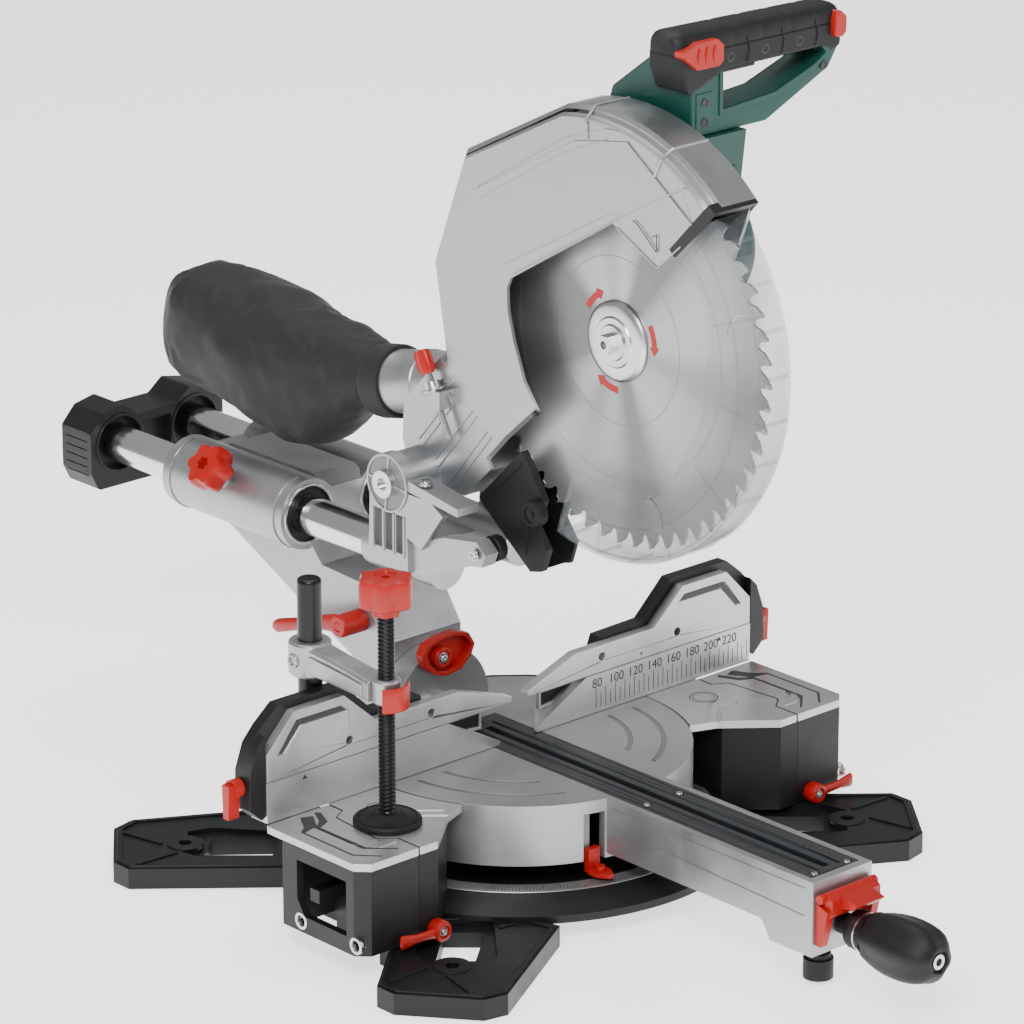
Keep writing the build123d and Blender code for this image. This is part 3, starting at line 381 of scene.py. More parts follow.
def ring_points(a, b, r, count=40):
    return [(a + r * cos(radians(360 * i / count)),
             b + r * sin(radians(360 * i / count))) for i in range(count)]


def annulus(bm, axis, a, b, inner_r, outer_r, low, high, count=40):
    """Flat ring across an axis."""
    prism(bm, axis, ring_points(a, b, outer_r, count), low, high, holes=[ring_points(a, b, inner_r, count)])


def lathe(bm, origin, direction, profile, steps=48, lobes=0, lobe_depth=0.0, closed=True):
    """Turned shape: profile is (radius, distance along direction). Lobes wave the radius."""
    d = Vector(direction).normalized()
    side = d.orthogonal().normalized()
    up = d.cross(side)
    rings = []
    for radius, along in profile:
        ring = []
        for i in range(steps):
            a = 2 * pi * i / steps
            r = radius * (1 + lobe_depth * cos(lobes * a)) if lobes else radius
            ring.append(bm.verts.new(Vector(origin) + d * along + side * (r * cos(a)) + up * (r * sin(a))))
        rings.append(ring)
    for low, high in zip(rings, rings[1:]):
        for i in range(steps):
            j = (i + 1) % steps
            bm.faces.new((low[i], low[j], high[j], high[i]))
    if closed:
        bm.faces.new(rings[0])
        bm.faces.new(list(reversed(rings[-1])))


def turned(name, at, direction, profile, steps, slot, body, lobes=0, lobe_depth=0.0, closed=True, **looks):
    """A piece that is one turned shape."""
    bm = bmesh.new()
    lathe(bm, at, direction, profile, steps, lobes, lobe_depth, closed)
    return piece(name, bm, slot, body, **looks)


def loft(bm, rings):
    """Skin over rings of equal point counts, closed at both ends."""
    made = [[bm.verts.new(p) for p in ring] for ring in rings]
    count = len(made[0])
    for low, high in zip(made, made[1:]):
        for i in range(count):
            j = (i + 1) % count
            bm.faces.new((low[i], low[j], high[j], high[i]))
    bm.faces.new(made[0])
    bm.faces.new(made[-1][::-1])


def tube(bm, points, radius, steps=12):
    """Round bar along a path."""
    rings = []
    for i, p in enumerate(points):
        p = Vector(p)
        ahead = Vector(points[min(i + 1, len(points) - 1)]) - Vector(points[max(i - 1, 0)])
        d = ahead.normalized()
        side = d.cross(Vector((0.31, 0.23, 0.92))).normalized()
        up = d.cross(side)
        rings.append([p + side * (radius * cos(2 * pi * k / steps)) + up * (radius * sin(2 * pi * k / steps))
                      for k in range(steps)])
    loft(bm, rings)


def head_side(points):
    """Side-view points measured from the blade axis, forward negative."""
    return [(AXIS_Y + y, AXIS_Z + z) for y, z in points]


def polar(r, a):
    """A point round the blade axis: angle from straight forward, upward."""
    return (-r * cos(radians(a)), r * sin(radians(a)))


def above_table(points):
    """Points whose heights are measured from the table top."""
    return [(a, TABLE + z) for a, z in points]


def rounded(value, power):
    """A sine or cosine made to bulge, with its sign kept."""
    return abs(value) ** power * (1 if value >= 0 else -1)


def rectangle(a0, a1, b0, b1):
    return [(a0, b0), (a1, b0), (a1, b1), (a0, b1)]


def mirror(points, side):
    """Points on the left (-1) or right (1) side."""
    return [(side * a, b) for a, b in points]


# ---- floor, light and camera ----
floor = bpy.data.meshes.new("floor")
floor.from_pydata([(-9, -9, -0.0005), (9, -9, -0.0005), (9, 9, -0.0005), (-9, 9, -0.0005)], [],
                  [(0, 1, 2, 3)])
floor_obj = bpy.data.objects.new("floor", floor)
bpy.context.scene.collection.objects.link(floor_obj)
floor.materials.append(FLOOR)

world = bpy.data.worlds.new("studio")
bpy.context.scene.world = world
world.use_nodes = True
world.node_tree.nodes["Background"].inputs["Color"].default_value = (1, 1, 1, 1)
world.node_tree.nodes["Background"].inputs["Strength"].default_value = 0.38


def lamp(name, at, target, size, power):
    data = bpy.data.lights.new(name, "AREA")
    data.shape = "RECTANGLE"
    data.size, data.size_y = size
    data.energy = power
    obj = bpy.data.objects.new(name, data)
    bpy.context.scene.collection.objects.link(obj)
    obj.location = at
    obj.rotation_euler = (Vector(target) - Vector(at)).to_track_quat("-Z", "Y").to_euler()


CENTRE = (0.0, 0.0, 0.25)
lamp("key", (-1.6, -1.4, 2.1), CENTRE, (1.1, 0.9), 62)
lamp("fill", (1.9, -1.5, 1.2), CENTRE, (1.2, 1.4), 12)
lamp("top", (0.2, 0.5, 2.4), CENTRE, (1.6, 1.6), 30)

camera = bpy.data.cameras.new("camera")
camera_obj = bpy.data.objects.new("camera", camera)
bpy.context.scene.collection.objects.link(camera_obj)
AZ, EL = radians(-42.35), radians(19.36)
back = Vector((sin(AZ) * cos(EL), -cos(AZ) * cos(EL), sin(EL)))
right = Vector((cos(AZ), sin(AZ), 0))
up = back.cross(right)
camera_obj.matrix_world = (Matrix.Translation((-2.4392, -2.6693, 1.5406))
                           @ Matrix((right, up, back)).transposed().to_4x4())
camera.lens = 183.15
camera.sensor_width = 36
bpy.context.scene.camera = camera_obj

# ---- blade ----
TEETH = 56
PITCH = 360 / TEETH
TOOTH = ((0.0, 0.3), (0.9, 0.7), (3.1, 4.6), (3.9, 8.6), (4.7, 10.8), (5.5, 10.6), (6.05, 8.0), (6.25, 4.0))
rim = [polar(BLADE_R - drop, i * PITCH + turn) for i in range(TEETH) for turn, drop in TOOTH]
slots = []
for k in range(4):
    a = 20 + 90 * k
    path = [(BLADE_R - 14, 0), (BLADE_R - 26, 0.6), (BLADE_R - 34, -1.2), (BLADE_R - 38, -4.0),
            (BLADE_R - 36, -6.5)]
    slots.append(head_side([polar(r, a + d) for r, d in path]
                           + [polar(r - 1.0, a + d + 0.5) for r, d in reversed(path)]))
bm = bmesh.new()
prism(bm, "x", head_side(rim), -1.0, 1.0, holes=[ring_points(AXIS_Y, AXIS_Z, 15.2)] + slots)
blade = piece("blade_plate", bm, "blade_steel", "blade_body")
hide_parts("saw_blade")
bm = bmesh.new()
for i in range(TEETH):
    tip = [polar(BLADE_R - drop, i * PITCH + turn) for turn, drop in
           ((-0.12, 0.0), (0.95, 0.35), (1.15, 4.4), (-0.02, 5.2))]
    prism(bm, "x", head_side(tip), -1.4, 1.4)
piece("blade_tips", bm, "steel_fastener", "blade_body", mat=CARBIDE)
bm = bmesh.new()
for a in (150, 30, 270):
    arc = [polar(34.5, a - d) for d in range(0, 26, 3)] + [polar(32.5, a - 26), polar(37, a - 35),
            polar(41.5, a - 26)] + [polar(39.5, a - d) for d in range(24, -1, -3)]
    prism(bm, "x", head_side(arc), -1.2, -1.02)
piece("turning_marks", bm, "red_plastic", "blade_body")
bm = bmesh.new()
for r0, r1 in ((62.0, 62.5), (104.0, 104.4)):
    annulus(bm, "x", AXIS_Y, AXIS_Z, r0, r1, -1.06, -1.0, 72)
piece("blade_rings", bm, "blade_steel", "blade_body", mat=GREY_BAND)

# flange
flange = turned("flange_turned", (-BLADE_HI.x, AXIS_Y, AXIS_Z), LEFT,
       [(30, 0), (30, 1.6), (28.6, 3.0), (26, 4.0), (19, 4.4), (18, 5.6), (13.5, 5.6), (12.8, 7.4),
        (5.2, 7.4)], 64, "steel_fastener", "blade_body", edge=0.3)
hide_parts("blade_flange")


def screw(name, at, direction, r, body):
    """Pan-head screw with a socket, and the dished washer under it."""
    bm = bmesh.new()
    lathe(bm, at, direction,
          [(r * 1.25, 0), (r * 1.25, 0.12 * r), (r, 0.14 * r), (r, 0.5 * r), (r * 0.86, 0.68 * r),
           (r * 0.55, 0.72 * r)], 28, closed=False)
    lathe(bm, at, direction, [(r * 0.55, 0.72 * r), (r * 0.5, 0.25 * r)], 28, closed=False)
    lathe(bm, at, direction, [(r * 0.02, 0.25 * r), (r * 0.5, 0.25 * r)], 28, closed=False)
    return piece(name, bm, "steel_fastener", body, smooth=40)


# ---- clear lower guard ----
LG_LO, LG_HI = span("lower_guard")
SHIELD_R = AXIS_Z - LG_LO.z
SHIELD_FROM, SHIELD_TO = 46.5, -107.5    # angles round the blade axis


def sector(bm, r0, r1, a0, a1, x0, x1, step=2.0):
    """Part of a flat ring round the blade axis."""
    n = max(2, round(abs(a1 - a0) / step))
    angles = [a0 + (a1 - a0) * i / n for i in range(n + 1)]
    prism(bm, "x", head_side([polar(r1, a) for a in angles] + [polar(r0, a) for a in reversed(angles)]), x0,
          x1)


bm = bmesh.new()
n = 60
angles = [SHIELD_FROM + (SHIELD_TO - SHIELD_FROM) * i / n for i in range(n + 1)]
inner = [(104 + 10 * max(0.0, cos(radians((a + 62) * 4)))) for a in angles]
cheek = [polar(SHIELD_R, a) for a in angles] + [polar(r, a) for r, a in reversed(list(zip(inner, angles)))]
prism(bm, "x", head_side(cheek), LG_LO.x, LG_LO.x + 1.6)
sector(bm, SHIELD_R - 1.6, SHIELD_R, SHIELD_FROM, SHIELD_TO, LG_LO.x + 1.6, LG_HI.x)
sector(bm, 100, SHIELD_R - 1.6, SHIELD_FROM, SHIELD_TO, LG_HI.x - 1.6, LG_HI.x)
shield = piece("shield_clear", bm, "clear_guard", "guard_body", edge=0.5)
bm = bmesh.new()
sector(bm, 38.3, 100, SHIELD_FROM, -150, LG_HI.x - 1.6, LG_HI.x - 0.1)
sector(bm, 38.3, 63, SHIELD_FROM, 210.0, LG_HI.x - 1.6, LG_HI.x - 0.1)
shield_back = piece("shield_hub", bm, "clear_guard", "guard_body", mat=MAT["black_plastic"])
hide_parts("lower_guard")
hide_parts("lower_guard")
bm = bmesh.new()
for r0, r1 in ((SHIELD_R - 4.4, SHIELD_R - 3.2), (SHIELD_R - 26, SHIELD_R - 24.8)):
    sector(bm, r0, r1, 44, -105, LG_LO.x, LG_LO.x + 2.4)
for a in (44.5, 20, -8, -36, -64, -92, -106.5):
    sector(bm, 114, SHIELD_R - 1.6, a, a - 0.7, LG_LO.x + 1.4, LG_LO.x + 2.8, 0.35)
for a in range(40, -106, -12):
    sector(bm, SHIELD_R - 1.8, SHIELD_R - 0.1, a, a - 0.9, LG_LO.x + 3, LG_HI.x - 2, 0.45)
piece("shield_ribs", bm, "clear_guard", "guard_body", edge=0.3)

# ---- details of the upper guard ----
FACE = -26.0    # the guard's left side


def strip(bm, points, width, x0, x1):
    """Raised line on the guard's side, along a path measured from the blade axis."""
    left, right = [], []
    for i, p in enumerate(points):
        a = Vector(points[max(i - 1, 0)])
        b = Vector(points[min(i + 1, len(points) - 1)])
        d = (b - a).normalized()
        s = Vector((-d.y, d.x)) * width / 2
        left.append(tuple(Vector(p) + s))
        right.append(tuple(Vector(p) - s))
    prism(bm, "x", head_side(left + right[::-1]), x0, x1)


bm = bmesh.new()
strip(bm, [(121, 88), (121, 94), (32, 147), (-11, 162.5), (-24, 163.5)], 1.1, FACE - 0.9, FACE + 0.4)
strip(bm, [(118, 86), (32, 137), (-14, 156)], 0.7, FACE - 1.8, FACE)
strip(bm, [(84, 36.5), (-21, 98.5), (-92, 137)], 1.2, FACE - 1.9, FACE)
strip(bm, [(-24, 94), (-44, 84), (-65, 73.5), (-88, 94)], 1.2, FACE - 0.8, FACE + 0.4)
piece("guard_lines", bm, "guard_alloy", "head_body", edge=0.25, mat=MAT["cast_alloy"])
bm = bmesh.new()
strip(bm, [(-41, 103), (-46, 101), (-65, 85)], 0.9, FACE - 1.35, FACE - 1.1)
strip(bm, [(-65, 85), (-65, 98), (-60, 95)], 0.9, FACE - 1.35, FACE - 1.1)
piece("direction_mark", bm, "black_plastic", "head_body", mat=INK)
bm = bmesh.new()
n = 24
rows = []
for i in range(n + 1):
    a = radians(91.6 - 44 * i / n)
    rows.append([Vector((x, AXIS_Y - r * cos(a), AXIS_Z + r * sin(a)))
                 for x, r in ((-26.15, 165.2), (-17.15, 174.25), (-16.6, 173.6), (-25.6, 164.6))])
loft(bm, rows)
piece("guard_band", bm, "guard_alloy", "head_body", mat=GREY_BAND)
bm = bmesh.new()
for a in (92.5, 66):
    seam = [(FACE - 0.5 + max(0, r - 166) * 1.12, r + 0.3) for r in (152, 158, 163, 166.4, 169, 172, 173.7)]
    seam += [(x, 174.1) for x in (-14, -4, 6, 15)]
    tube(bm, [(x, *head_side([polar(r, a)])[0]) for x, r in seam], 1.3, 10)
piece("guard_seams", bm, "guard_alloy", "head_body", mat=MAT["cast_alloy"])
# black seal round the mouth
bm = bmesh.new()
for x0, x1 in ((-26.6, -24.4), (13.6, 16.4)):
    prism(bm, "x", head_side([polar(118, 49.5), polar(165, 48.6), polar(173.6, 48.4), polar(173.8, 45.8),
                              polar(164, 45.6), polar(118, 46.0)]), x0, x1)
prism(bm, "x", head_side([polar(168.5, 48.4), polar(173.9, 48.4), polar(173.9, 45.8), polar(168.5, 45.8)]),
      -24.4, 13.6)
piece("mouth_seal", bm, "black_plastic", "head_body", edge=0.4)
# painted shadow: a black strip along the opening's edge, standing for the shade on the guard's inner wall
bm = bmesh.new()
strip(bm, [(61, -66), (76, -42), (87, -14), (93, 7), (93.6, 24), (88, 34), (-20, 98.5)], 3.2, FACE + 0.35,
      FACE + 4.2)
piece("opening_shadow_strip", bm, "black_plastic", "head_body", edge=0.3)
bm = bmesh.new()
for a, b in (((187, -114), (149, -70)), ((182, -117), (144, -73)), ((170, -127), (128, -78)),
             ((165, -130), (123, -81)), ((153, -139), (112, -90)), ((148, -142), (107, -93))):
    strip(bm, [a, b], 0.9, FACE - 0.9, FACE + 0.3)
piece("arm_ribs", bm, "guard_alloy", "head_body", edge=0.25, mat=MAT["cast_alloy"])


# ---- fence ----
def label(text, x, z, size, y, body, name):
    """A number standing on the fence's face, as flat mesh."""
    curve = bpy.data.curves.new(name, "FONT")
    curve.body = text
    curve.size = size * MM
    curve.align_x = "CENTER"
    curve.extrude = 0.06 * MM
    tmp = bpy.data.objects.new(name + "_c", curve)
    bpy.context.scene.collection.objects.link(tmp)
    bpy.context.view_layer.update()
    mesh = bpy.data.meshes.new_from_object(tmp.evaluated_get(bpy.context.evaluated_depsgraph_get()))
    bpy.data.objects.remove(tmp)
    mesh.transform(Matrix.Translation((x * MM, y * MM, z * MM)) @ Matrix.Rotation(radians(90), 4, "X"))
    obj = bpy.data.objects.new(name, mesh)
    bpy.context.scene.collection.objects.link(obj)
    mesh.materials.clear()
    mesh.materials.append(INK)
    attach(obj, body)


for value in range(80, 221, 20):
    label(str(value), value + 1.0, TABLE + 20.6, 10.5, -0.1, "root", f"mark_{value}")
bm = bmesh.new()
for value in range(80, 241, 5):
    top = 19.4 if value % 10 == 0 else 15.0
    prism(bm, "y", rectangle(value - 0.28, value + 0.28, TABLE + 4, TABLE + top), -0.12, 0.05)
prism(bm, "y", above_table([(207, 25.2), (212.4, 25.2), (209.7, 28.8)]), -0.12, 0.05)
prism(bm, "y", above_table([(-210.5, 25.6), (-205.5, 25.6), (-208, 29.2)]), -0.12, 0.05)
piece("fence_ticks", bm, "black_plastic", "root", mat=INK)
for side, word in SIDES:
    bm = bmesh.new()
    prism(bm, "y", mirror(above_table([(232.2, 50.6), (214.6, 72.3), (172.4, 72.3), (167.4, 68.5),
                                       (211.4, 68.5), (227.6, 50.6)]), side), 0.75, 1.15)
    prism(bm, "y", mirror(above_table([(125.6, 37), (128.4, 37), (127, 34.4)]), side), -0.1, 0.05)
    piece(f"fence_groove_{word}", bm, "black_plastic", f"fence_{word}_body", mat=INK)
    # guide frame under the thin end, round a dark slot
    bm = bmesh.new()
    outer = mirror(above_table([(29, 13.5), (29, 29), (76, 29), (60, 16.5)]), side)
    inner_loop = mirror(above_table([(31, 16), (31, 26.6), (68, 26.6), (57, 18.5)]), side)
    prism(bm, "y", outer, 8.4, 12.0, holes=[inner_loop])
    piece(f"fence_guide_{word}", bm, "machined_alloy", "root", edge=0.3)
    bm = bmesh.new()
    prism(bm, "y", inner_loop, 10.2, 11.6)
    piece(f"fence_guide_dark_{word}", bm, "black_plastic", "root")

# ---- side tables: dark grooves ----
GROOVES = ([(218, -6), (209, -10), (219, -26), (233.5, -30), (233.5, -83), (219, -99), (221, -99.4),
            (235.5, -84), (235.5, -27.5), (228, -22)],
           [(204, -5), (200.6, -9), (208, -25), (219, -30), (218.5, -80), (202, -96), (204, -96.6),
            (220.6, -81), (221, -27.5), (212, -20)])
for side, word in SIDES:
    bm = bmesh.new()
    for points in GROOVES:
        prism(bm, "z", mirror(points, side), TABLE - 0.3, TABLE + 0.07)
    piece(f"table_grooves_{word}", bm, "black_plastic", f"extension_{word}_body", mat=INK)
    bm = bmesh.new()
    split = [(187.2, -1.5), (187.2, -16), (199.2, -23), (203.2, -72), (191.2, -82), (191.2, -104.4)]
    line = split + [(x - 1.5, y - 0.3) for x, y in reversed(split)]
    prism(bm, "z", mirror(line, side), TABLE - 0.3, TABLE + 0.06)
    for r0, r1 in ((10.2, 11.2), (7.9, 8.6)):
        annulus(bm, "z", side * 163, -31.5, r0, r1, TABLE - 0.2, TABLE + 0.05)
    piece(f"table_lines_{word}", bm, "black_plastic", "root", mat=INK)

# ---- turntable and mitre scale ----
SCALE_TOP = span("mitre_scale")[1].z
SCALE_R = 148.6
bm = bmesh.new()
for degree in range(-52, 53):
    a = radians(-90 + degree)
    reach = 9.5 if degree % 5 == 0 else 6.0
    r0, r1 = SCALE_R - reach, SCALE_R
    d = Vector((cos(a), sin(a)))
    s = Vector((-d.y, d.x)) * 0.22
    quad = [tuple(d * r0 + s), tuple(d * r0 - s), tuple(d * r1 - s), tuple(d * r1 + s)]
    prism(bm, "z", quad, SCALE_TOP - 0.05, SCALE_TOP + 0.08)
piece("mitre_ticks", bm, "black_plastic", "root", mat=INK)
# painted shade: grey bands laid in the turntable's shallow grooves, darker than the table
bm = bmesh.new()
for radius in (84, 109):
    inner_r, outer_r = radius - 2.4, radius + 2.4
    for a0, a1 in ((-57, -3), (-177, -123)):
        if radius == 109:
            a0, a1 = (a0 - 8 if a0 > -90 else a0), (a1 + 8 if a1 < -90 else a1)
        arc = [(outer_r * cos(radians(a)), outer_r * sin(radians(a))) for a in range(a0, a1 + 1, 3)]
        arc += [(inner_r * cos(radians(a)), inner_r * sin(radians(a))) for a in range(a1, a0 - 1, -3)]
        prism(bm, "z", arc, TABLE - 1.15, TABLE - 0.7)
piece("turntable_grooves", bm, "cast_alloy", "turntable_body", mat=GREY_BAND)
bm = bmesh.new()
for side in (-1, 1):
    for z, d in ((69.0, 0.35), (84.0, 0.3)):
        x = side * 29.5
        prism(bm, "x", [(-136, z), (-330, z - (6 if z < 75 else 0)), (-330, z - (6 if z < 75 else 0) - 0.8),
                        (-136, z - 0.8)], min(x, x + side * d), max(x, x + side * d))
piece("arm_parting_lines", bm, "cast_alloy", "turntable_body", mat=GREY_BAND)
for i, (x, y) in enumerate([(-16.3, -156), (16.3, -156), (-16.3, -326), (16.3, -326), (0, 44)]):
    screw(f"insert_screw_{i}", (x, y, TABLE - 1.6), UP, 2.7, "turntable_body")
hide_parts("insert_screws")
bm = bmesh.new()
for x in (-14.5, 14.5):
    for y in (-291, -286):
        prism(bm, "z", rectangle(x - 4, x + 4, y, y + 0.9), TABLE - 0.1, TABLE + 0.08)
piece("width_marks", bm, "black_plastic", "turntable_body", mat=INK)

# ---- mitre grip and its ring ----
GR_LO, GR_HI = span("mitre_grip")
GZ = (GR_LO.z + GR_HI.z) / 2
bm = bmesh.new()
lathe(bm, (0, -352, GZ), FRONT,
      [(8, -13.5), (8, 0), (13.6, 0), (14.6, 2), (14.8, 7), (13.6, 9), (13.8, 11), (17.2, 18)], 60,
      closed=False)
lathe(bm, (0, -352, GZ), FRONT,
      [(17.2, 18), (19.6, 26), (21.4, 34), (22.4, 42), (22.6, 50), (22.2, 58), (21.0, 66), (19.0, 72),
       (15.5, 77), (11.5, 80), (9.5, 80.9), (8.4, 80.7), (7.6, 78.5), (0.2, 78.5)], 60, lobes=6,
      lobe_depth=0.045, closed=False)
grip = piece("grip_moulding", bm, "black_rubber", "grip_body", smooth=50)
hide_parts("mitre_grip")
bm = bmesh.new()
lathe(bm, (0, -352, GZ), FRONT, [(13.7, 9.2), (14.4, 9.4), (14.4, 10.6), (13.7, 10.8)], 48, closed=False)
lathe(bm, (0, -352, GZ), FRONT, [(5.5, 78.7), (5.5, 79.9), (3.0, 79.9), (3.0, 78.7)], 24, closed=False)
piece("grip_ring", bm, "steel_fastener", "grip_body")

# ---- head: handle, motor, port and bracket ----
RAIL_LO, RAIL_HI = span("rail_left")
RAIL_Z = (RAIL_LO.z + RAIL_HI.z) / 2
RAIL_X = 38
HOUSING1 = span("tilt_arm")[1].y
HOUSING0 = HOUSING1 - 143
HG_LO, HG_HI = span("handle_grip")
HY = (HG_LO.y + HG_HI.y) / 2
GRIP_UNDER = TABLE + 535.6
GRIP_END = HG_LO.x + 7
bm = bmesh.new()
rings = []
for i in range(61):
    t = i / 60
    x = GRIP_END + (HG_HI.x - GRIP_END) * t
    squeeze = 1 - 0.30 * max(0.0, 1 - min(x - GRIP_END, HG_HI.x - x) / 9) ** 2.2
    groove = 0.7 * max(0.0, cos(2 * pi * (x - 62) / 28)) ** 10 if 54 < x < 160 else 0.0
    ring = []
    for k in range(25):
        a = pi * k / 24
        ring.append(Vector((x, HY + 16.9 * squeeze * rounded(cos(a), 0.72) * (1 - groove / 17),
                            HG_LO.z + (HG_HI.z - HG_LO.z - groove - 3.2 * t)
                            * (0.35 + 0.65 * squeeze) * sin(a) ** 0.62)))
    rings.append(ring)
loft(bm, rings)
grip = piece("handle_overmould", bm, "black_rubber", "head_body", smooth=50)
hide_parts("handle_grip")
bm = bmesh.new()
outline = [(GRIP_END + 3, HG_LO.z + 0.4), (GRIP_END + 3, TABLE + 541), (16, TABLE + 525), (20, TABLE + 522.6),
           (54, GRIP_UNDER), (149, GRIP_UNDER), (161, TABLE + 531), (168.4, TABLE + 534),
           (169.4, HG_LO.z + 0.4)]
prism(bm, "y", outline, HY - 16.8, HY + 16.8)
piece("handle_underside", bm, "black_rubber", "head_body", edge=2.6, segments=4)
bm = bmesh.new()
for x in (58, 92, 126):
    lathe(bm, (x, HY - 16.4, TABLE + 544), FRONT,
          [(3.4, -1.5), (3.4, 0.5), (2.6, 0.6), (2.4, 0.1), (0.1, 0.1)], 20)
piece("handle_holes", bm, "black_rubber", "head_body", mat=INK)
bm = bmesh.new()
for x in (74, 108, 142):
    tube(bm, [(x + 2.4 * sin(pi * k / 10), HY - 16.9, TABLE + 538 + 18 * k / 10) for k in range(11)], 0.8, 8)
piece("handle_grooves", bm, "black_rubber", "head_body")
# release buttons at both ends
for word, x0, x1 in (("left", HG_LO.x + 7.5, HG_LO.x + 46.5), ("right", HG_HI.x - 12.5, HG_HI.x - 0.3)):
    bm = bmesh.new()
    z0, z1 = TABLE + 541.2, TABLE + 560.8
    cut = 14 if word == "left" else 3
    outline = [(x0, z0 + cut * 0.8), (x0 + cut, z0), (x1 - 4, z0), (x1, z0 + 3), (x1, z1 - 5), (x1 - 6, z1),
               (x0 + cut, z1), (x0, z1 - 5)]
    prism(bm, "y", outline, HY - 21.6, HY - 10)
    if word == "left":
        for k in range(3):
            x = x0 + 14 + 7.5 * k
            tube(bm, [(x + 1.2, HY - 21.7, z0 + 4), (x, HY - 21.9, z0 + 9.5), (x + 1.2, HY - 21.7, z1 - 4)],
                 1.0, 8)
    button = piece(f"release_button_{word}", bm, "red_plastic", "lock_button_body", edge=1.6, segments=3)
    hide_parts("lock_buttons")
# frame under the grip: a hollow D with a raised rim round the finger gap
bm = bmesh.new()
gap = above_table([(52, 536), (52, 507), (104, 511), (142, 524), (154, 531), (150, 536)])
rim = above_table([(48.5, 536), (48.5, 503), (105, 507.4), (143.5, 520.6), (159, 530), (157, 536)])
for y in (HY - 16.0, HY + 14.4):
    prism(bm, "y", rim, y, y + 1.6, holes=[gap])
    prism(bm, "y", rectangle(26, 42, TABLE + 522, TABLE + 497), y + 0.2, y + 1.4)
piece("handle_rib", bm, "green_plastic", "head_body", edge=0.4)
bm = bmesh.new()
for x, z in ((34, TABLE + 515), (34, TABLE + 501), (152, TABLE + 522)):
    lathe(bm, (x, HY - 15, z), FRONT, [(3.4, -0.5), (3.4, 1.3), (2.6, 1.5), (2.4, 0.9), (0.1, 0.9)], 22)
piece("handle_screw_wells", bm, "green_plastic", "head_body", mat=INK)
# motor: ribbed case, vented end and brush caps
MY, MZ = -52.0, TABLE + 372
bm = bmesh.new()
lathe(bm, (16, MY, MZ), RIGHT,
      [(46.9, 0), (46.9, 44), (45.4, 45), (45.4, 49), (46.9, 50), (46.9, 96), (45.2, 98), (45.2, 101),
       (46.9, 103), (46.9, 122), (45.6, 128), (42, 132.4), (38, 133.8), (30, 133.9), (29, 131.5), (12, 131.5),
       (11, 133.8), (0.1, 133.8)], 96)
for k in range(24):
    a = 2 * pi * k / 24
    rib = ((120, 46.4), (140, 46.4), (147.5, 41), (149.2, 30))
    tube(bm, [(x, MY + r * cos(a), MZ + r * sin(a)) for x, r in rib], 1.0, 8)
prism(bm, "x", above_table([(-160, 490.5), (-150, 410), (-96, 392), (-60, 412), (-60, 490.5)]), 16.4, 71.5)
for k in range(5):
    z = TABLE + 424 + 12 * k
    prism(bm, "y", rectangle(24, 64, z, z + 5), -160.5 + 0.9 * k, -150 + 0.9 * k)
motor = piece("motor_case", bm, "green_plastic", "head_body", edge=0.7)
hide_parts("motor_housing")
bm = bmesh.new()
for k in range(12):
    a = 2 * pi * (k + 0.5) / 12
    lathe(bm, (146, MY + 21 * cos(a), MZ + 21 * sin(a)), RIGHT, [(3.4, 0), (3.4, 1.9), (0.1, 1.9)], 16)
piece("motor_vents", bm, "black_plastic", "head_body", mat=INK)
bm = bmesh.new()
lathe(bm, (84, MY + 44, MZ), BACK, [(9, 0), (9, 3.2), (7.5, 4.2), (6, 4.2), (6, 3.0), (0.1, 3.0)], 30)
lathe(bm, (84, MY - 44, MZ), FRONT, [(9, 0), (9, 3.2), (7.5, 4.2), (6, 4.2), (6, 3.0), (0.1, 3.0)], 30)
piece("brush_caps", bm, "black_plastic", "head_body")
for i, (x, z) in enumerate(((30, TABLE + 480), (62, TABLE + 430), (62, TABLE + 480))):
    screw(f"motor_screw_{i}", (x, -155.5, z), FRONT, 2.6, "head_body")

# dust port with its collar, and the depth stop
PORT_D = Vector((0, 0.98, -0.2)).normalized()
PORT_O = Vector((0, 62, TABLE + 264))
port = turned("port_turned", PORT_O, PORT_D,
       [(24.4, 6), (24.4, 30), (25.4, 31), (25.4, 35), (24.4, 36), (24.4, 66), (25.0, 67), (25.0, 71),
        (23.6, 79.5), (21.4, 79.5), (21.2, 6), (24.4, 6)], 72, "cast_alloy", "head_body", closed=False,
       smooth=40)
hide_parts("dust_port")
DS = Vector((-33, 53, TABLE + 263))
DS_D = Vector((0, 0.45, 0.89)).normalized()
turned("stop_thread", DS, DS_D,
       [(2.95 if k % 2 else 2.45, -31.9 + 0.5 * k) for k in range(102)], 20, "steel_fastener",
       "depth_stop_body", smooth=20)
cap = turned("stop_cap", DS, DS_D,
       [(4.5, 18.5), (5.0, 20), (6.3, 21.5), (6.5, 24), (6.4, 33), (5.6, 36.2), (3.2, 36.9), (0.1, 36.9)], 48,
       "red_plastic", "depth_stop_body", lobes=12, lobe_depth=0.035, smooth=25)
turned("stop_nut", DS, DS_D,
       [(3.1, 4.5), (8.5, 4.5), (9, 5.3), (9, 6.4), (8.5, 7.2), (6.2, 7.3), (6.0, 12.2), (3.1, 12.2),
        (3.1, 4.5)], 36, "steel_fastener", "depth_stop_body", closed=False, smooth=25)
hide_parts("depth_stop")

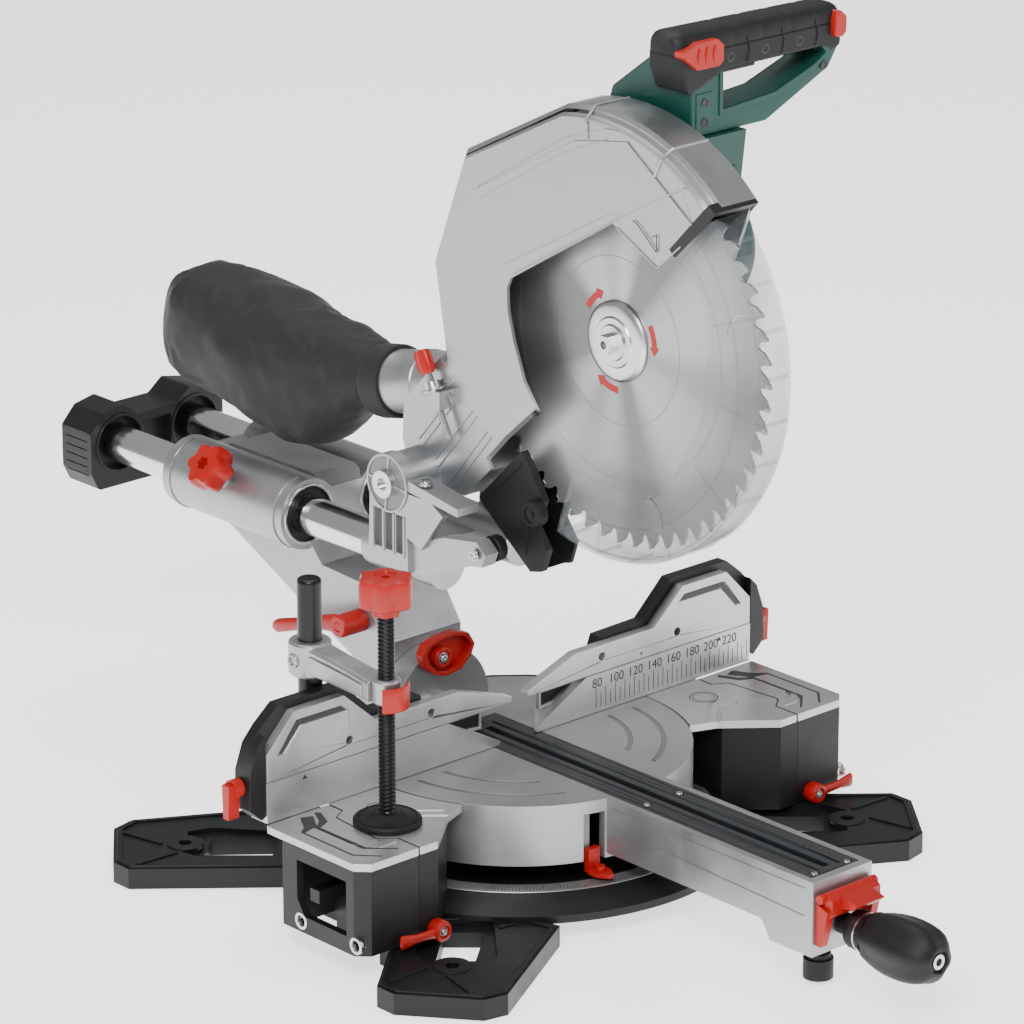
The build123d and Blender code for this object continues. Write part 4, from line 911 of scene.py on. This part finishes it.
# bracket: spoked disc, screw plate, link roller and the sleeves' caps
PY, PZ = 77.0, TABLE + 197
bm = bmesh.new()
for r0, r1 in ((20.6, 22.5), (8.6, 10.8)):
    annulus(bm, "x", PY, PZ, r0, r1, -61.2, -59.8, 48)
for a in (5, 95, 185, 275):
    c, s = cos(radians(a)), sin(radians(a))
    p = rectangle(10.4, 20.9, -0.9, 0.9)
    prism(bm, "x", [(PY + u * c - v * s, PZ + u * s + v * c) for u, v in p], -61.2, -59.8)
for y in (58, 69.5, 81, 92.5):
    prism(bm, "x", rectangle(y, y + 1.6, PZ - 22, PZ - 54), -61.0, -59.8)
piece("ear_spokes", bm, "cast_alloy", "carriage_body", edge=0.3)
bm = bmesh.new()
annulus(bm, "x", PY, PZ, 10.8, 20.6, -60.3, -60.0, 48)
piece("ear_shade", bm, "cast_alloy", "carriage_body", mat=GREY_BAND)
turned("pivot_cap", (-60.2, PY, PZ), LEFT,
       [(8.5, 0), (8.5, 2.8), (7.8, 3.4), (5.4, 3.4), (5.0, 0.8), (0.1, 0.8)], 40, "black_steel",
       "carriage_body")
screw("plate_screw", (-53.5, 42, TABLE + 203.4), (0, -0.1, 1), 4.4, "carriage_body")
screw("roller_screw", (-57.9, -16, 255), LEFT, 3.6, "carriage_body")
roller = turned("roller_tyre", (-42.7, -16, 255), RIGHT,
       [(3.6, 0), (6, 0.2), (6, 1.2), (9.2, 1.4), (9.9, 2.2), (9.9, 8.8), (9.2, 9.8), (6, 10.2), (0.1, 10.2)],
       40, "black_rubber", "carriage_body", smooth=40)
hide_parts("link_roller")
for side, word in SIDES:
    turned(f"sleeve_cap_{word}", (side * RAIL_X, 51.5, RAIL_Z), FRONT,
           [(15.2, -2), (15.2, 14.4), (16.4, 14.9), (16.2, 15.45), (2, 15.45), (0.1, 15.45)], 56,
           "cast_alloy", "carriage_body", smooth=40)

# chute roller and the chute's beads
roller = turned("chute_wheel", (-19.4, -44, TABLE + 196), LEFT,
       [(3, 0), (9.9, 0.2), (9.9, 7.6), (9.2, 9.0), (6.4, 9.5), (6.2, 8.2), (2.4, 8.2), (2.4, 9.2),
        (0.1, 9.2)], 44, "black_rubber", "head_body", smooth=40)
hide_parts("chute_roller")
bm = bmesh.new()
for pts in (above_table([(-26, 228), (12, 192), (12.8, 193), (-25, 229.4)]),
            above_table([(-36, 200), (-30, 158), (-29, 158), (-35, 200)])):
    prism(bm, "x", pts, -20.3, -19.3)
piece("chute_beads", bm, "black_rubber", "head_body", edge=0.2)

# ---- rail housing, rail lock knob and rear cap ----
for side, word in SIDES:
    bm = bmesh.new()
    for y, d in ((HOUSING0, -1), (HOUSING1, 1)):
        lathe(bm, (side * RAIL_X, y - d * 0.4, RAIL_Z), (0, d, 0),
              [(21.9, -3), (21.9, 0.6), (22.6, 1.3), (24.0, 1.3), (24.4, 0.5), (21.9, -3)], 64, closed=False)
    piece(f"housing_lip_{word}", bm, "steel_fastener", "tilt_body", smooth=40)
KN = Vector((-RAIL_X - 0.8 * 34, 268, RAIL_Z + 0.6 * 34))
KN_D = Vector((-0.8, 0, 0.6))
knob = turned("rail_knob", KN, KN_D,
       [(10, 0.1), (14.5, 0.6), (16.2, 2.4), (16.6, 8), (16.4, 16), (14.8, 19.2), (12.4, 19.8), (5.2, 19.8),
        (4.6, 14), (0.1, 14)], 72, "red_plastic", "rail_lock_body", lobes=6, lobe_depth=0.13, smooth=40)
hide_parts("rail_lock_knob")
CAP_LO, CAP_HI = span("rail_end_cap")
bm = bmesh.new()
for side in (-1, 1):
    annulus(bm, "y", side * RAIL_X, RAIL_Z, 22.1, 24.0, CAP_LO.y - 0.9, CAP_LO.y + 0.6, 56)
    annulus(bm, "y", side * RAIL_X, RAIL_Z, 15.5, 17.5, CAP_HI.y - 0.4, CAP_HI.y - 0.05, 56)
for x in (-12, -4, 4, 12):
    prism(bm, "y", rectangle(x - 0.7, x + 0.7, 194, 245), CAP_HI.y - 1.2, CAP_HI.y - 0.05)
for k in range(6):
    z = 204 + 7 * k
    prism(bm, "x", rectangle(CAP_LO.y + 5, CAP_HI.y - 5, z, z + 1.2), -67.0, -66.2)
piece("end_cap_ribs", bm, "black_plastic", "carriage_body", edge=0.3)
bm = bmesh.new()
for y in (203, 328):
    arc = [(28.4 * cos(radians(a)), 28.4 * sin(radians(a))) for a in range(95, 266, 6)]
    tube(bm, [(-RAIL_X + x, y, RAIL_Z + z) for x, z in arc], 0.7, 8)
piece("housing_beads", bm, "cast_alloy", "tilt_body")

# ---- clamp ----
CX, CY = -178.0, -56.0
CS_LO, CS_HI = span("clamp_screw")
pitch = 3.2
bm = bmesh.new()
steps = 16
rows = []
count = int((CS_HI.z - CS_LO.z) / pitch * 4)
for k in range(count + 1):
    row = []
    for i in range(steps):
        a = 2 * pi * i / steps
        phase = ((CS_LO.z + k * pitch / 4) / pitch - i / steps) % 1.0
        r = 5.15 + 1.3 * (1 - abs(2 * phase - 1)) ** 0.6
        row.append(Vector((CX + r * cos(a), CY + r * sin(a), CS_LO.z + k * (CS_HI.z - CS_LO.z) / count)))
    rows.append(row)
loft(bm, rows)
thread = piece("clamp_thread", bm, "black_steel", "clamp_spindle_body", smooth=28)
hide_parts("clamp_screw")
CK_LO = span("clamp_knob")[0]
bm = bmesh.new()
lathe(bm, (CX, CY, CK_LO.z), UP,
      [(9.5, 0), (10.5, 4), (16, 6.5), (18.8, 8), (19.3, 10.5), (19.3, 25), (18.2, 28.2), (14, 29.6),
       (8, 29.9), (7, 28.4), (3.2, 28.2), (2.6, 24), (0.1, 24)], 84, lobes=6, lobe_depth=0.075)
for k in range(6):
    a = radians(60 * k + 30)
    tube(bm, [(CX + 17.4 * cos(a), CY + 17.4 * sin(a), CK_LO.z + 9),
              (CX + 17.6 * cos(a), CY + 17.6 * sin(a), CK_LO.z + 26)], 1.6, 10)
knob = piece("clamp_knob_lobed", bm, "red_plastic", "clamp_spindle_body", smooth=40)
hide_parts("clamp_knob")
CP_LO = span("clamp_pad")[0]
bm = bmesh.new()
lathe(bm, (CX, CY, CP_LO.z), UP,
      [(24.6, 0), (25, 0.6), (25, 3.4), (24.2, 4.4), (18.6, 5.6), (12.5, 7.8), (10.8, 9.4), (9.8, 9.6),
       (0.1, 9.6)], 72)
lathe(bm, (CX, CY, CP_LO.z + 5.2), UP,
      [(22.4, -0.6), (22.6, 0.2), (21.6, 0.4), (21.2, -0.4), (22.4, -0.6)], 72, closed=False)
pad = piece("clamp_foot", bm, "black_rubber", "clamp_spindle_body", smooth=40)
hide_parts("clamp_pad")
PO_LO, PO_HI = span("clamp_post")
post = turned("clamp_post_turned", (CX, 28, PO_LO.z), UP,
       [(9, 0), (9, PO_HI.z - PO_LO.z - 3), (8.7, PO_HI.z - PO_LO.z - 1.2), (7.6, PO_HI.z - PO_LO.z - 0.2),
        (5.6, PO_HI.z - PO_LO.z), (0.1, PO_HI.z - PO_LO.z)], 56, "black_steel", "root", smooth=40)
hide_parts("clamp_post")
CA_LO, CA_HI = span("clamp_arm")
bm = bmesh.new()
for y, r, z0, z1 in ((28, 15.9, CA_LO.z, CA_HI.z), (CY, 10.4, CA_LO.z + 1, CA_HI.z - 6)):
    h = z1 - z0
    lathe(bm, (CX, y, z0), UP, [(r - 1.6, 0), (r, 1.6), (r, h - 1.6), (r - 1.6, h)], 56)
n = 12
rows = []
for k in range(n + 1):
    t = k / n
    y = 18 + (CY + 8 - 18) * t
    z0 = CA_LO.z + 3 - 1.5 * t
    z1 = CA_HI.z - 2 - 7 * t
    w = 11 - 1.0 * sin(pi * t)
    rows.append([Vector((CX + w * sx, y, zz)) for sx, zz in ((-1, z0 + 1.5), (-0.86, z0), (0.86, z0),
            (1, z0 + 1.5), (1, z1 - 2), (0.8, z1), (-0.8, z1), (-1, z1 - 2))])
loft(bm, rows)
z = CA_LO.z + 6.5
prism(bm, "x", [(16, z), (CY + 14, z - 1.5), (CY + 14, z + 7), (16, z + 12)], CX - 11.9, CX - 10.6)
lathe(bm, (CX - 14.2, 28, CA_LO.z + 13), LEFT,
      [(5.6, 0), (5.6, 2.6), (4.8, 3.4), (3.2, 3.4), (3.0, 1.6), (0.1, 1.6)], 28)
arm = piece("clamp_arm_cast", bm, "cast_alloy", "clamp_arm_body", edge=0.5, smooth=38)
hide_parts("clamp_arm")
CB_LO, CB_HI = span("clamp_button")
bm = bmesh.new()
n = 10
rows = []
for k in range(n + 1):
    a = radians(-52 + 104 * k / n)
    r1, r0 = 16.8, 13.7
    rows.append([Vector((CX + r * sin(a), CY - r * cos(a), zz)) for r, zz in ((r0, CB_LO.z + 1),
            (r1 - 0.6, CB_LO.z), (r1, CB_LO.z + 1.2), (r1, CB_HI.z - 1.2), (r1 - 0.6, CB_HI.z),
            (r0, CB_HI.z - 1))])
loft(bm, rows)
button = piece("clamp_release", bm, "red_plastic", "clamp_button_body", edge=0.4)
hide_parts("clamp_button")

# ---- levers ----
for side, word in SIDES:
    HI = span(f"extension_lever_{word}")[1]
    hx = -177.0 if side < 0 else 205.0
    bm = bmesh.new()
    lathe(bm, (hx, HI.y, 24), FRONT,
          [(7.4, 0), (8, 1), (8, 8.6), (7, 10.6), (5, 11.2), (4.4, 9.4), (0.1, 9.4)], 40)
    rows = []
    for t, w, h in ((0, 2.6, 4.2), (0.3, 2.4, 3.4), (0.6, 2.3, 3.6), (0.85, 2.6, 5.2), (0.97, 2.4, 5.6),
                    (1.0, 1.6, 4.2)):
        x = hx + side * (6 + 32 * t)
        rows.append([Vector((x, HI.y - 7 + w * cos(2 * pi * k / 16),
                             24 + 1.2 * t + h * sin(2 * pi * k / 16))) for k in range(16)])
    loft(bm, rows)
    lever = piece(f"extension_lock_{word}", bm, "red_plastic", f"extension_lever_{word}_body", smooth=40)
    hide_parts(f"extension_lever_{word}")
    screw(f"extension_lock_screw_{word}", (hx, HI.y - 9.3, 24), FRONT, 2.9, f"extension_lever_{word}_body")
bm = bmesh.new()
outline = [(-30, 142), (-25, 150), (-12, 154), (4, 154.5), (18, 150), (24, 140), (20, 131), (10, 122.5),
           (-4, 120.5), (-16, 124), (-26, 132)]
prism(bm, "y", outline, 80.4, 82)
loop_in = [(-24, 142), (-20, 148), (-10, 151), (4, 151.3), (15, 147.4), (20, 140), (17, 133), (8, 126),
           (-4, 124), (-14, 127), (-21, 133.5)]
prism(bm, "y", outline, 74.2, 80.4, holes=[loop_in])
lathe(bm, (-8, 81, 136), FRONT, [(8.6, 0), (8.6, 6.4), (7.6, 7.4), (5.2, 7.4), (5.0, 5.6), (0.1, 5.6)], 36)
lathe(bm, (-8, 81, 136), BACK, [(8.8, 0), (8.8, 4.4), (0.1, 4.4)], 36)
lever = piece("bevel_stop_cup", bm, "red_plastic", "bevel_stop_body", edge=0.7)
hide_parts("bevel_stop_lever")
screw("bevel_stop_screw", (-8, 75.2, 136), FRONT, 3.6, "bevel_stop_body")
bm = bmesh.new()
rows = []
for y, z, w, h in ((128, 158, 3.6, 7.0), (140, 158.5, 4.0, 7.6), (156, 155, 3.8, 6.2), (176, 148.5, 3.6, 5.0),
                   (196, 142, 3.8, 5.6), (208, 138, 3.6, 5.8), (213, 137, 2.2, 3.6)):
    rows.append([Vector((-58 + w * cos(2 * pi * k / 18), y,
                         z + h * sin(2 * pi * k / 18))) for k in range(18)])
loft(bm, rows)
lathe(bm, (-38.6, 134, 158), LEFT,
      [(8.9, 0), (8.9, 22), (7.6, 23.4), (4.2, 23.4), (3.8, 21.6), (0.1, 21.6)], 40)
lever = piece("bevel_lock_handle", bm, "red_plastic", "bevel_lock_body", smooth=40)
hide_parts("bevel_lock_lever")

# steel bushes in the extensions' holes
for side, word in SIDES:
    EX_LO, EX_HI = span(f"extension_{word}")
    x = EX_LO.x if side < 0 else EX_HI.x
    bm = bmesh.new()
    for y in (-38, -98):
        lathe(bm, (x - side * 2, y, 27.5), (side, 0, 0),
              [(6.4, 0), (6.4, 2.25), (5.9, 2.5), (4.5, 2.5), (4.2, 2.0), (4.2, -3), (6.4, 0)], 36,
              closed=False)
    piece(f"extension_bushes_{word}", bm, "steel_fastener", f"extension_{word}_body", smooth=40)
FOOT_TOP = 16.0
# outline of the right rear foot, and the point its rib is drawn in to
LEG = [(105, 118), (172, 62), (262, 140), (262, 158), (222, 208), (203, 212), (96, 150)]
MID = (188.0, 140.0)


def about_mid(points, k):
    """An outline drawn in about the foot's middle."""
    return [(MID[0] + (x - MID[0]) * k, MID[1] + (y - MID[1]) * k) for x, y in points]


def corner(points, i, j):
    """Points of the right rear foot, moved to another corner."""
    return [(i * x, j * y) for x, y in points]


bm = bmesh.new()
for i in (-1, 1):
    for j in (-1, 1):
        prism(bm, "z", corner(about_mid(LEG, 0.965), i, j), FOOT_TOP - 1, FOOT_TOP + 1.6,
              holes=[corner(about_mid(LEG, 0.90), i, j)])
        annulus(bm, "z", i * 200, j * 150, 4.9, 14, 11.5, FOOT_TOP + 0.9, 36)
        for x0, y0, x1, y1 in ((222, 196, 214, 160), (252, 142, 216, 140), (118, 126, 132, 124)):
            d = Vector((x1 - x0, y1 - y0)).normalized() * 1.6
            prism(bm, "z", corner([(x0 - d.y, y0 + d.x), (x1 - d.y, y1 + d.x), (x1 + d.y, y1 - d.x),
                                   (x0 + d.y, y0 - d.x)], i, j), FOOT_TOP - 1, FOOT_TOP + 1.4)
piece("foot_ribs", bm, "black_casting", "root", edge=0.6)

# ---- dust bag ----
SECTIONS = ((149, 24.6, 24.6, 247), (160, 29.5, 28.5, 247), (178, 35.5, 35.5, 243), (205, 41.5, 48.5, 234),
            (230, 45.5, 54.5, 232), (262, 47.5, 52.5, 237), (310, 48, 52.5, 242), (350, 43.5, 51.5, 245),
            (372, 31.5, 46.5, 244), (385, 19.5, 36.5, 241))
bm = bmesh.new()
rows = []
for y, rx, rz, cz in SECTIONS:
    row = []
    for i in range(48):
        a = 2 * pi * i / 48
        p = 2.1 if y < 200 else 3.0
        x, z = rx * rounded(cos(a), 2 / p), rz * rounded(sin(a), 2 / p)
        crease = 1 - (0.05 if y > 170 else 0.0) * max(0.0, cos(3 * a + y * 0.045)) ** 3
        row.append(Vector((x * crease * 0.97, y, TABLE + cz + z * crease * 0.97)))
    rows.append(row)
loft(bm, rows)
bag = piece("bag_cloth", bm, "bag_fabric", "head_body", smooth=60)
remesh = bag.modifiers.new("remesh", "REMESH")
remesh.mode = "VOXEL"
remesh.voxel_size = 0.0048
deps = bpy.context.evaluated_depsgraph_get()
fresh = bpy.data.meshes.new_from_object(bag.evaluated_get(deps))
bag.modifiers.clear()
bag.data = fresh
rest = [v.co.copy() for v in fresh.vertices]
pins = bag.vertex_groups.new(name="pins")
for v in fresh.vertices:
    ends = max(0.0, min(1.0, (0.170 - v.co.y) / 0.02)) + max(0.0, min(1.0, (v.co.y - 0.380) / 0.004))
    pins.add([v.index], min(1.0, ends), "REPLACE")
cloth = bag.modifiers.new("cloth", "CLOTH")
cs = cloth.settings
cs.use_pressure = True
cs.uniform_pressure_force = 3.2
cs.shrink_min = -0.03
cs.vertex_group_mass = "pins"
cs.effector_weights.gravity = 0
cs.bending_stiffness = 0.35
cs.tension_stiffness = 18
cs.compression_stiffness = 12
for f in range(1, 21):
    bpy.context.scene.frame_set(f)
deps = bpy.context.evaluated_depsgraph_get()
done = bpy.data.meshes.new_from_object(bag.evaluated_get(deps))
bag.modifiers.clear()
bpy.context.scene.frame_set(1)
for v, start in zip(done.vertices, rest):
    move = v.co - start
    if move.length > 0.007:
        v.co = start + move.normalized() * 0.007
bag.data = done
bag.data.shade_smooth()
wave = bpy.data.textures.new("bag_folds", "CLOUDS")
wave.noise_scale = 0.045
wave.noise_depth = 2
folds = bag.modifiers.new("folds", "DISPLACE")
folds.texture = wave
folds.strength = 0.009
folds.mid_level = 0.62
bag.modifiers.new("smooth", "SUBSURF").levels = 1
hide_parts("dust_bag")
turned("bag_cuff", PORT_O, PORT_D,
       [(25.3, 66), (27.4, 66.4), (28, 69), (27.5, 72), (28.1, 75), (27.6, 79), (28.3, 83), (27.5, 88.5),
        (24.9, 89), (25.3, 66)], 64, "bag_fabric", "head_body", closed=False, smooth=50)
